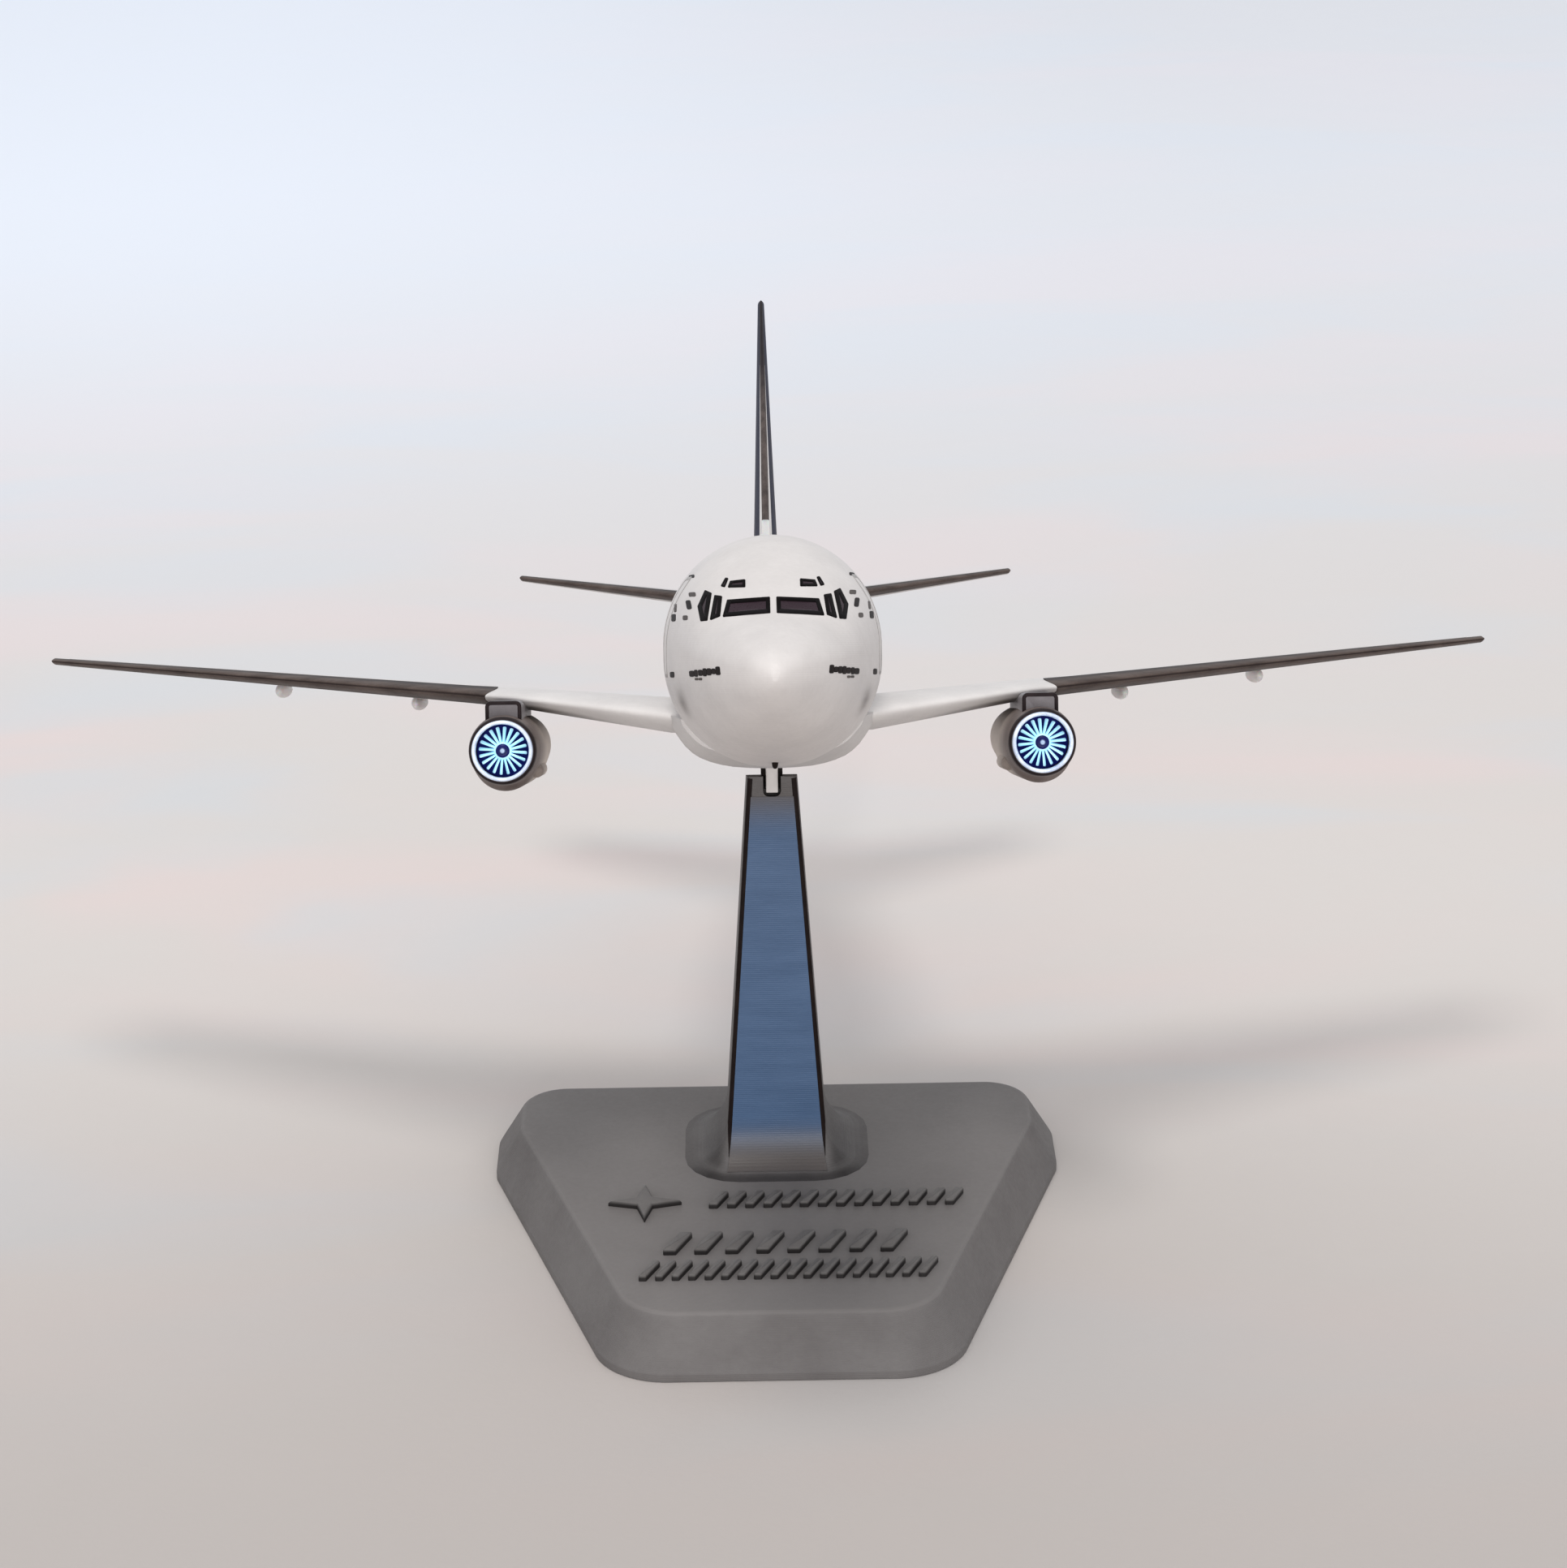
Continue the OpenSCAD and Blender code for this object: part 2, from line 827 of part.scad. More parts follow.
module fan_backplate() {
    color("#0c1540")
        at_engine(backplate_y)
            difference() {
                cylinder(h = backplate_t, r = ring_in_r);
                translate([0, 0, -1]) cylinder(h = backplate_t + 2, r = pin_r + glue_gap);
            }
}

module left_fan_backplate() {
    on_stand() fan_backplate();
}

module right_fan_backplate() {
    on_stand() right_side() fan_backplate();
}

// Headed pin: its shank is fixed in the nacelle and its head keeps the fan on
module fan_pin() {
    head_y = fan_y - 0.75;
    color("#9fb8d8")
        at_engine(head_y) {
            cylinder(h = backplate_y + 6 - head_y, r = pin_r);
            cylinder(h = 0.3, r = pin_head_r + 0.1);
        }
}

module left_fan_pin() {
    on_stand() fan_pin();
}

module right_fan_pin() {
    on_stand() right_side() fan_pin();
}

module fan_bore() {
    translate([0, 0, -2]) cylinder(h = 6, r = pin_r + pin_clearance);
}

module fan() {
    color("#bfe9fb")
        at_engine(fan_y)
            difference() {
                union() {
                    cylinder(h = fan_len, r = fan_hub_r);
                    for (i = [0:blade_count - 1])
                        rotate([0, 0, 360 * i / blade_count])
                            translate([fan_hub_r - 0.2, 0, fan_len / 2])
                                rotate([blade_pitch, 0, 0])
                                    translate([0, -blade_w / 2, -fan_len / 2])
                                        cube([fan_r - fan_hub_r + 0.2, blade_w, fan_len]);
                }
                fan_bore();
            }
}

module left_fan() {
    on_stand() fan();
}

module right_fan() {
    on_stand() right_side() fan();
}

module spinner() {
    color("#0a1136")
        at_engine(fan_y - 0.4)
            difference() {
                cylinder(h = 0.4 - glue_gap, r = spinner_r);
                fan_bore();
            }
}

module left_spinner() {
    on_stand() spinner();
}

module right_spinner() {
    on_stand() right_side() spinner();
}

module exhaust() {
    color("#5f5a57")
        at_engine(nacelle_end_y - 8)
            difference() {
                cylinder(h = exhaust_end_y - nacelle_end_y + 8, r = 3.2 - glue_gap);
                translate([0, 0, 2]) cylinder(h = 20, r = 2.6);
            }
}

module left_exhaust() {
    on_stand() exhaust();
}

module right_exhaust() {
    on_stand() right_side() exhaust();
}

module pylon() {
    half_w = 2.3;
    top_z = -5.75;
    corner = 0.6;
    color("#77706c")
        difference() {
            translate([engine_x, 114, 0])
                rotate([90, 0, 0])
                    linear_extrude(40)
                        polygon([
                            [-half_w, engine_z + 1], [half_w, engine_z + 1],
                            [half_w, top_z - corner], [half_w - corner, top_z],
                            [corner - half_w, top_z], [-half_w, top_z - corner]
                        ]);
            nacelle_envelope(glue_gap);
            pylon_wing_cut();
        }
}

// Everything above the wing's underside, from its leading edge back
function above_wing_ring(s) =
    let (under = [for (p = profile(s[2], s[3] + 0.08, 0, 1)) if (p[1] <= 0) [s[0], s[1] + p[0], s[4] + p[1]]])
    concat(
        [[s[0], s[1] + s[2] + 10, s[4]], [s[0], s[1] + s[2] + 10, s[4] + 8], [s[0], s[1], s[4] + 8]],
        [under[0]],
        [for (i = [len(under) - 1:-1:1]) under[i]]
    );

module pylon_wing_cut() {
    reach = 4;
    loft([for (x = [engine_x - reach, engine_x, engine_x + reach])
        above_wing_ring(section_at(wing_sections, x < engine_x ? 1 : 2, x))]);
}

module left_pylon() {
    on_stand() pylon();
}

module right_pylon() {
    on_stand() right_side() pylon();
}

// ---------- Tail surfaces ----------

module stabiliser() {
    color("#cfccca")
        difference() {
            loft([for (s = tail_sections) wing_section(s, tail_edge_chord, 1)]);
            translate([0, rod_y, tail_sections[0][4]])
                rotate([0, 90, 0])
                    cylinder(h = rod_len / 2 + 0.5, r = rod_r + glue_gap);
        }
}

module left_stabiliser() {
    on_stand() stabiliser();
}

module right_stabiliser() {
    on_stand() right_side() stabiliser();
}

module stabiliser_edge() {
    color("#6d625c")
        loft([for (s = tail_sections) wing_section(s, 0, tail_edge_chord - 0.003)]);
}

module left_stabiliser_edge() {
    on_stand() stabiliser_edge();
}

module right_stabiliser_edge() {
    on_stand() right_side() stabiliser_edge();
}

module stabiliser_rod() {
    color("#b9b5b0")
        on_stand()
            translate([-rod_len / 2, rod_y, tail_sections[0][4]])
                rotate([0, 90, 0])
                    cylinder(h = rod_len, r = rod_r);
}

function fin_section(s, from, to) =
    [for (p = profile(s[2], s[3], from, to)) [p[1], s[1] + p[0], s[0]]];

module fin_root_tool(gap) {
    s = fin_sections[0];
    translate([0, s[1] - gap, s[0] - gap])
        rotate([0, 0, 90])
            union() {
                linear_extrude(20)
                    polygon(profile(s[2] + 2 * gap, s[3] + 3 * gap, 0, 1, 36));
                translate([0.9 * s[2], -0.45, 0])
                    cube([0.1 * s[2] + 3 * gap, 0.9, 20]);
            }
}

module fin() {
    color("#2b3350")
        on_stand()
            loft([for (s = fin_sections) fin_section(s, fin_edge_chord, 1)]);
}

module fin_leading_edge() {
    color("#8d8680")
        on_stand()
            loft([for (s = fin_sections) fin_section(s, 0, fin_edge_chord - 0.003)]);
}

// Low fillet ahead of the fin, let into a slot in the crown
module dorsal_blank(gap) {
    half_w = 0.75;
    front_y = 137;
    rear_y = fin_sections[0][1] - 0.3;
    slot_z = body_top - 0.7;
    crest_z = body_top + 5.8;
    translate([-half_w - gap, 0, 0])
        rotate([90, 0, 90])
            linear_extrude(2 * (half_w + gap))
                polygon([
                    [front_y - gap, slot_z - gap], [rear_y + gap, slot_z - gap],
                    [rear_y + gap, body_top + 0.7], [rear_y + 5 + gap, crest_z],
                    [rear_y + 2.6, crest_z], [rear_y - 2, body_top + 2.5],
                    [front_y - gap, slot_z + 0.75]
                ]);
}

module dorsal_fin() {
    color("#efece8") on_stand() dorsal_blank(0);
}

stand_base();
stand_arm();
arm_face_strip();
base_emblem();
base_relief_bars();
fuselage_nose();
fuselage_mid();
fuselage_tail();
tail_cone();
front_joint_sleeve();
rear_joint_sleeve();
windscreen_panes();
eyebrow_windows();
left_window_strip();
right_window_strip();
belly_fairing();
belly_antenna();
wing_spar();
left_wing();
right_wing();
left_slat();
right_slat();
left_flap_fairings();
right_flap_fairings();
left_pylon();
right_pylon();
left_nacelle();
right_nacelle();
left_inlet_ring();
right_inlet_ring();
left_fan_backplate();
right_fan_backplate();
left_fan_pin();
right_fan_pin();
left_fan();
right_fan();
left_spinner();
right_spinner();
left_exhaust();
right_exhaust();
left_stabiliser();
right_stabiliser();
left_stabiliser_edge();
right_stabiliser_edge();
stabiliser_rod();
fin();
fin_leading_edge();
dorsal_fin();
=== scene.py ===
import math

import bmesh  # noqa: E402
import bpy  # noqa: E402
from mathutils import Matrix, Vector  # noqa: E402


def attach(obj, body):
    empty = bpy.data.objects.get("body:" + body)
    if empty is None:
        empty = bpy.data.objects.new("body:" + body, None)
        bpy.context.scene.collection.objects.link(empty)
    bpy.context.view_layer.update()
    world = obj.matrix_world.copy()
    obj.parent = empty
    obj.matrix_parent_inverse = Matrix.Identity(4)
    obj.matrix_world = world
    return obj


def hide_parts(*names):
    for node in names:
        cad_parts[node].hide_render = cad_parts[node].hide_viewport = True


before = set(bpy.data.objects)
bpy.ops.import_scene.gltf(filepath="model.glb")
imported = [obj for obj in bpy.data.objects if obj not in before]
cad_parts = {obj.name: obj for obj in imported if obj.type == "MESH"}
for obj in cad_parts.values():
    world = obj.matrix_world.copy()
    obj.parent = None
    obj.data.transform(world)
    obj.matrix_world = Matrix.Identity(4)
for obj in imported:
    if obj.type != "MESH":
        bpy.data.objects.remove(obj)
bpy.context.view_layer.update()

# Shapes are drawn in millimetres, on the stand or in the aircraft's own frame
# (X span, Y aft from the nose, Z up), and carried into the shared frame in metres.
STAND = Matrix.Scale(0.001, 4)
NOSE_UP = math.radians(20.4)
FACE_Y, SHOULDER_Z = 8.5, 65.5  # front face and shoulder of the arm, on the stand
SEAT_Y, SEAT_Z = 99, -16.5  # the same place in the aircraft's frame
CRAFT = (
    STAND
    @ Matrix.Translation((0, FACE_Y, SHOULDER_Z))
    @ Matrix.Rotation(-NOSE_UP, 4, "X")
    @ Matrix.Translation((0, -SEAT_Y, -SEAT_Z))
)


def lerp(a, b, t):
    return a + (b - a) * t


def mix(a, b, t):
    return [lerp(p, q, t) for p, q in zip(a, b)]


def clamp(v, a=0.0, b=1.0):
    return max(a, min(b, v))


def ease(v, a=0.0, b=1.0):
    t = clamp((v - a) / (b - a))
    return t * t * (3 - 2 * t)


def span(a, b, n):
    return [lerp(a, b, i / n) for i in range(n + 1)]


def around(n):
    return [2 * math.pi * k / n for k in range(n)]


def link(o):
    bpy.context.scene.collection.objects.link(o)
    return o


def table(points, v):
    """Smooth curve through (place, value) pairs that never overshoots them."""
    if v <= points[0][0]:
        return points[0][1]
    if v >= points[-1][0]:
        return points[-1][1]
    slopes = [(q[1] - p[1]) / (q[0] - p[0]) for p, q in zip(points, points[1:])]
    tangents = [slopes[0]]
    for a, b in zip(slopes, slopes[1:]):
        tangents.append(0 if a * b <= 0 else 2 * a * b / (a + b))
    tangents.append(slopes[-1])
    i = max(k for k in range(len(points) - 1) if points[k][0] <= v)
    (x0, y0), (x1, y1) = points[i], points[i + 1]
    w = x1 - x0
    t = (v - x0) / w
    return (
        y0 * (1 + 2 * t) * (1 - t) ** 2
        + tangents[i] * w * t * (1 - t) ** 2
        + y1 * t * t * (3 - 2 * t)
        + tangents[i + 1] * w * t * t * (t - 1)
    )


# ---------------- mesh building


class Shape:
    """Points and faces gathered before they become one piece."""

    def __init__(self):
        self.points, self.faces, self.paint = [], [], []

    def add(self, points, faces, paint=0):
        n = len(self.points)
        self.points += [tuple(p) for p in points]
        self.faces += [[i + n for i in f] for f in faces]
        self.paint += [paint] * len(faces)
        return self

    def skin(self, rings, paint=0, caps=True, closed=True):
        n = len(rings[0])
        sides = n if closed else n - 1
        faces = [
            [r * n + i, r * n + (i + 1) % n, (r + 1) * n + (i + 1) % n, (r + 1) * n + i]
            for r in range(len(rings) - 1)
            for i in range(sides)
        ]
        if caps:
            last = (len(rings) - 1) * n
            faces += [list(range(n - 1, -1, -1)), list(range(last, last + n))]
        return self.add([p for ring in rings for p in ring], faces, paint)

    def turn(self, outline, centre, paint=0, steps=96, caps=False):
        """Turns (radius, y) points about an axis along Y through centre (x, z)."""
        rings = [
            [(centre[0] + r * math.cos(a), y, centre[1] + r * math.sin(a)) for a in around(steps)]
            for r, y in outline
        ]
        return self.skin(rings, paint, caps)

    def box(self, low, high, paint=0):
        (a, b, c), (d, e, f) = low, high
        base = [(a, b), (d, b), (d, e), (a, e)]
        return self.skin([[(x, y, z) for x, y in base] for z in (c, f)], paint)


def smooth(mesh, angle=35):
    mesh.polygons.foreach_set("use_smooth", [True] * len(mesh.polygons))
    mesh.set_sharp_from_angle(angle=math.radians(angle))
    mesh.update()


def mesh_of(name, shape):
    mesh = bpy.data.meshes.new(name)
    mesh.from_pydata(shape.points, [], shape.faces)
    mesh.polygons.foreach_set("material_index", shape.paint)
    bm = bmesh.new()
    bm.from_mesh(mesh)
    bmesh.ops.remove_doubles(bm, verts=bm.verts, dist=1e-4)
    bmesh.ops.dissolve_degenerate(bm, edges=bm.edges, dist=1e-4)
    bmesh.ops.recalc_face_normals(bm, faces=bm.faces)
    bm.to_mesh(mesh)
    bm.free()
    return mesh


def cut(mesh, tools):
    """Takes the tools, which are shapes, out of a mesh."""
    work = link(bpy.data.objects.new("work", mesh))
    spare = [work]
    for shape in tools:
        tool = link(bpy.data.objects.new("tool", mesh_of("tool", shape)))
        spare.append(tool)
        step = work.modifiers.new("cut", "BOOLEAN")
        step.solver, step.operation, step.object = "EXACT", "DIFFERENCE", tool
    graph = bpy.context.evaluated_depsgraph_get()
    made = bpy.data.meshes.new_from_object(work.evaluated_get(graph))
    for o in spare:
        bpy.data.objects.remove(o)
    return made


def make(
    name, shape, slot, paints, replaces=(), body="airliner", bevel=None, crease=35, tools=(), tint=None,
    right=False,
):
    """One piece, from a shape in millimetres. bevel is (width, segments, angle, paint)."""
    mesh = mesh_of(name, shape)
    if tools:
        mesh = cut(mesh, tools)
    if bevel:
        width, segments, angle, edge_paint = bevel
        bm = bmesh.new()
        bm.from_mesh(mesh)
        sharp = [
            e for e in bm.edges if len(e.link_faces) == 2 and e.calc_face_angle(0) > math.radians(angle)
        ]
        bmesh.ops.bevel(
            bm, geom=sharp, offset=width, segments=segments, profile=0.6, affect="EDGES", clamp_overlap=True,
            material=edge_paint,
        )
        bm.to_mesh(mesh)
        bm.free()
    if tint:
        shade = mesh.attributes.new("tint", "FLOAT", "POINT")
        shade.data.foreach_set("value", [tint(*v.co) for v in mesh.vertices])
    if right:
        mesh.transform(Matrix.Scale(-1, 4, (1, 0, 0)))
        mesh.flip_normals()
    mesh.transform(STAND if body == "stand" else CRAFT)
    painted = [min(f.material_index, len(paints) - 1) for f in mesh.polygons]
    mesh.materials.clear()
    for paint in paints:
        mesh.materials.append(paint)
    mesh.polygons.foreach_set("material_index", painted)
    smooth(mesh, crease)
    piece = link(bpy.data.objects.new(name, mesh))
    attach(piece, body)
    if replaces:
        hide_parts(*replaces)


def pairs(*pieces):
    """Makes the left pieces, then their mirror images on the right."""
    for side, right in (("left", False), ("right", True)):
        for name, shape, slot, paints, node, looks in pieces:
            body = f"{side}_fan_rotor" if node in ("fan", "spinner") else "airliner"
            stands_for = [f"{side}_{node}"] if node else ()
            make(f"{side}_{name}", shape, slot, paints, stands_for, body, right=right, **looks)


# ---------------- materials


def material(name):
    """A material, its shader, and a function that adds a node with its inputs."""
    m = bpy.data.materials.new(name)
    m.use_nodes = True
    nodes, links = m.node_tree.nodes, m.node_tree.links

    def feed(n, inputs):
        for key, value in inputs.items():
            if isinstance(value, bpy.types.NodeSocket):
                links.new(value, n.inputs[key])
            else:
                n.inputs[key].default_value = value

    def node(kind, inputs, output=0, **settings):
        n = nodes.new("ShaderNode" + kind)
        for key, value in settings.items():
            setattr(n, key, value)
        feed(n, inputs)
        return n.outputs[output]

    return m, node, lambda inputs: feed(nodes["Principled BSDF"], inputs)


def blend(node, factor, a, b):
    """Mixes two colours, each a socket or (r, g, b)."""
    a, b = (v if isinstance(v, bpy.types.NodeSocket) else (*v, 1) for v in (a, b))
    # Sockets 6 and 7 of a Mix node are its colours, and output 2 is the mixed one
    return node("Mix", {0: factor, 6: a, 7: b}, 2, data_type="RGBA")


def shade(
    name, main, second, roughness=0.5, grain=0.35, spread=0.3, layers=0.0, layer_mm=0.25, layer_axis="Z",
    bump=0.25, tinted=None, stretch=(1, 1, 1), coat=0.0, in_craft=True, **extra,
):
    """Printed and painted plastic. main and second are mixed in soft patches, tinted is the colour
    where the piece's tint reaches, which on many pieces is painted light or shade, and layers sets the print
    lines' depth."""
    m, node, set_shader = material(name)
    where = node("TexCoord", {}, "Object")
    turn = (NOSE_UP if in_craft else 0, 0, 0)
    place = node("Mapping", {"Vector": where, "Rotation": turn, "Scale": (1000, 1000, 1000)})
    drawn = node("Mapping", {"Vector": place, "Scale": stretch})
    patches = node("TexNoise", {"Vector": drawn, "Scale": grain, "Detail": 5.0, "Roughness": 0.6}, "Fac")
    fine = node("TexNoise", {"Vector": drawn, "Scale": grain * 14, "Detail": 3.0, "Roughness": 0.65}, "Fac")
    soft = node("MapRange", {"Value": patches, "From Min": 0.3, "From Max": 0.7, "To Max": 1.0})
    fleck = node(
        "MapRange", {"Value": fine, "From Min": 0.25, "From Max": 0.75, "To Min": -0.5, "To Max": 0.5},
    )
    soft = node("Math", {0: fleck, 1: spread, 2: soft}, operation="MULTIPLY_ADD")
    colour = blend(node, soft, main, second)
    if tinted:
        reach = node("Attribute", {}, "Fac", attribute_name="tint")
        colour = blend(node, reach, colour, tinted)
    lo, hi = roughness - 0.07, roughness + 0.07
    rough = node("MapRange", {"Value": fine, "From Min": 0.2, "From Max": 0.8, "To Min": lo, "To Max": hi})
    height = fine
    if layers:
        wave = {"Scale": math.pi / (10 * layer_mm), "Distortion": 0.6, "Detail": 1.0, "Detail Scale": 0.4}
        lines = node("TexWave", {"Vector": place, **wave}, "Fac", bands_direction=layer_axis)
        height = node("Math", {0: lines, 1: layers, 2: fine}, operation="MULTIPLY_ADD")
    relief = node("Bump", {"Height": height, "Strength": bump, "Distance": 0.00004})
    set_shader(
        {"Base Color": colour, "Roughness": rough, "Normal": relief, "Metallic": 0.0, "Coat Weight": coat}
    )
    set_shader({key.replace("_", " "): value for key, value in extra.items()})
    return m


# The tinted colour is painted shade on the lower fuselage and nose sides, and the soft grey patches on the
# nose.
WHITE = shade(
    "white_print", (0.655, 0.622, 0.606), (0.575, 0.545, 0.532), 0.5, grain=0.12, layers=0.35,
    tinted=(0.22, 0.195, 0.185), bump=0.3,
)
# The tinted colour is painted shade: a shadow line under the inner wing, and the belly tray's darker bottom.
WING = shade(
    "wing_white", (0.69, 0.665, 0.65), (0.61, 0.585, 0.575), 0.5, grain=0.12, layers=0.3,
    tinted=(0.10, 0.085, 0.08), bump=0.3,
)
SEAM = shade(
    "seam_grey", (0.055, 0.047, 0.044), (0.095, 0.082, 0.076), 0.55, grain=0.5, Specular_IOR_Level=0.1,
)
FAINT = shade("faint_line", (0.36, 0.34, 0.33), (0.28, 0.265, 0.255), 0.5, grain=0.5)
DULL = {"Specular_IOR_Level": 0.12}
DARK = shade(
    "mark_dark", (0.006, 0.004, 0.004), (0.016, 0.011, 0.010), 0.5, grain=0.8, Specular_IOR_Level=0.05,
)
RIM = shade(
    "pane_rim", (0.0016, 0.0008, 0.001), (0.003, 0.0015, 0.002), 0.5, grain=0.6, Specular_IOR_Level=0.03,
)
GLASS = shade(
    "pane_glass", (0.026, 0.012, 0.019), (0.018, 0.008, 0.013), 0.30, grain=0.3, bump=0.08,
    Specular_IOR_Level=0.08,
)
BRONZE = shade(
    "slat_bronze", (0.112, 0.086, 0.076), (0.056, 0.042, 0.038), 0.5, grain=0.5, stretch=(0.12, 1, 1.6),
    spread=0.7, tinted=(0.010, 0.005, 0.005), **DULL,
)
GREY = shade(
    "tail_grey", (0.55, 0.53, 0.52), (0.45, 0.43, 0.42), 0.5, grain=0.2, layers=0.3,
    tinted=(0.12, 0.1, 0.095),
)
NAVY = shade(
    "fin_navy", (0.010, 0.012, 0.038), (0.006, 0.007, 0.022), 0.5, grain=0.3, layers=0.3,
    Specular_IOR_Level=0.06,
)
EDGE = shade(
    "fin_edge", (0.115, 0.092, 0.085), (0.045, 0.036, 0.034), 0.5, grain=0.7, stretch=(1, 0.6, 0.5),
    spread=0.9, tinted=(0.01, 0.008, 0.012), **DULL,
)
# The tinted beige is painted light on the cowling's inboard side.
TAUPE = shade(
    "nacelle_taupe", (0.165, 0.128, 0.115), (0.092, 0.070, 0.064), 0.5, grain=0.35, layers=0.3,
    layer_axis="Y", tinted=(0.80, 0.71, 0.63), Specular_IOR_Level=0.3,
)
LIP = shade("lip_dark", (0.010, 0.006, 0.007), (0.022, 0.014, 0.015), 0.5, grain=0.7, **DULL)
PYLON = shade("pylon_grey", (0.20, 0.185, 0.195), (0.15, 0.137, 0.145), 0.42, grain=0.35, layers=0.3)
# Painted glow: the emission makes the inlet ring glow faintly though it is no lamp.
RING = shade(
    "ring_white", (0.84, 0.90, 0.98), (0.40, 0.48, 0.70), 0.25, grain=0.55, spread=0.8, coat=0.4, bump=0.3,
    Emission_Color=(0.7, 0.85, 1.0, 1), Emission_Strength=0.12,
)
# Painted glow: the emission makes the pale blades glow though they are no lamp.
BLADE = shade(
    "blade_pale", (0.66, 0.92, 0.98), (0.40, 0.78, 0.97), 0.25, grain=0.5, spread=0.5, coat=0.4,
    tinted=(0.10, 0.40, 0.85), bump=0.15, Emission_Color=(0.45, 0.82, 1.0, 1), Emission_Strength=0.42,
)
HUB = shade("hub_navy", (0.004, 0.008, 0.12), (0.002, 0.004, 0.06), 0.35, grain=0.6, Specular_IOR_Level=0.2)
# Painted glow: the emission makes the navy well behind the fan glow faintly.
WELL = shade(
    "well_navy", (0.003, 0.006, 0.10), (0.002, 0.003, 0.05), 0.5, grain=0.6, Specular_IOR_Level=0.05,
    Emission_Color=(0.01, 0.02, 0.22, 1), Emission_Strength=0.15,
)
STEEL = shade(
    "pin_steel", (0.45, 0.58, 0.78), (0.30, 0.42, 0.62), 0.25, grain=1.2, tinted=(0.006, 0.012, 0.12),
    Specular_IOR_Level=0.4,
)
MILK = shade(
    "milky_white", (0.86, 0.85, 0.84), (0.76, 0.75, 0.75), 0.35, grain=0.3, Transmission_Weight=0.25,
    Subsurface_Weight=0.3, Subsurface_Scale=0.002,
)
# The tinted colour is painted light on the base's flat top and front.
STONE = shade(
    "stand_grey", (0.138, 0.130, 0.128), (0.104, 0.096, 0.095), 0.55, grain=0.10, layers=1.0, layer_mm=0.2,
    bump=0.4, in_craft=False, tinted=(0.20, 0.187, 0.182), spread=0.25, Specular_IOR_Level=0.3,
)
# The tinted colour is painted shade on the arm's flare and foot.
ARM = shade(
    "arm_grey", (0.138, 0.130, 0.128), (0.104, 0.096, 0.095), 0.55, grain=0.2, layers=1.0, layer_mm=0.2,
    bump=0.4, in_craft=False, tinted=(0.014, 0.011, 0.011), Specular_IOR_Level=0.25,
)
# The tinted colour is painted shade on the sides of the raised bars and star.
RAISED = shade(
    "relief_grey", (0.142, 0.134, 0.130), (0.112, 0.104, 0.101), 0.5, grain=0.3, in_craft=False,
    tinted=(0.012, 0.010, 0.010), Specular_IOR_Level=0.25,
)
BLACK = shade(
    "edge_black", (0.008, 0.005, 0.005), (0.016, 0.010, 0.009), 0.5, grain=0.5, in_craft=False,
    Specular_IOR_Level=0.1,
)
# Painted reflection: the blue band on the arm's face stands for a reflection of something blue in front of
# the arm, and its tinted grey is where it fades out.
BLUE = shade(
    "arm_blue", (0.072, 0.134, 0.252), (0.054, 0.108, 0.212), 0.45, grain=0.2, stretch=(0.5, 1, 2.5),
    layers=0.8, layer_mm=0.3, bump=0.3, in_craft=False, tinted=(0.098, 0.086, 0.082), spread=0.35,
)

# ---------------- fuselage

HALF_WIDE, HALF_TALL = 13.05, 13.9
NOSE_END, TAIL_START, TAIL_END = 46, 128, 205
# Top of the nose, as (station, height)
CROWN = [
    (0, -3.1), (0.05, -2.75), (0.6, -1.4), (2, -0.1), (5, 1.5), (9, 2.9), (13, 4.1), (17.5, 6.6), (22, 9.1),
    (28, 11.5), (36, 13.3), (NOSE_END, HALF_TALL),
]


def body(y):
    """Half width, top, bottom and middle height of the fuselage at a station."""
    if y < NOSE_END:
        t = clamp(1 - (y - 0.015) / NOSE_END)
        wide, deep = (1 - t * t) ** 0.6, (1 - t * t) ** 0.56
        top = table(CROWN, y) - 0.1 * math.sin(math.pi * y / NOSE_END)
        return HALF_WIDE * wide, top, -3.1 - 10.8 * deep, -2.9 * (1 - (y / NOSE_END) ** 0.6)
    if y <= TAIL_START:
        return HALF_WIDE, HALF_TALL, -HALF_TALL, 0
    t = (y - TAIL_START) / (TAIL_END - TAIL_START)
    half = 1.7 + 11.35 * max(0, 1 - t**1.75) ** 1.1
    top = HALF_TALL - 3.3 * ease(t, 0.4, 1.1)
    bottom = -HALF_TALL + 20.3 * t**1.35
    return half, top, bottom, lerp(0, (top + bottom) / 2, t**0.5)


def body_point(y, angle, inset=0.0):
    half, top, bottom, middle = body(y)
    flat = 0.85 * half / HALF_WIDE
    half = max(half - inset, 0.02)
    s, c = math.sin(angle), math.cos(angle)
    if s > 1e-9 or angle in (0.0, math.pi):
        z = middle + flat + s * max(top - inset - middle - flat, 0.02)
    else:
        z = middle - flat + s * max(middle - flat - bottom - inset, 0.02)
    return (half * c, y, z)


def body_ring(y, inset=0.0, steps=40):
    upper = [body_point(y, math.pi * i / steps, inset) for i in range(steps + 1)]
    lower = [body_point(y, math.pi * (1 + i / steps) + 1e-6, inset) for i in range(steps + 1)]
    return upper + lower


def side_skin(y, z):
    """Half width of the fuselage at a station and a height."""
    half, top, bottom, middle = body(y)
    flat = 0.85 * half / HALF_WIDE
    if z > middle + flat:
        h = (z - middle - flat) / (top - middle - flat)
    elif z < middle - flat:
        h = (middle - flat - z) / (middle - flat - bottom)
    else:
        h = 0
    return half * math.sqrt(max(0, 1 - h * h))


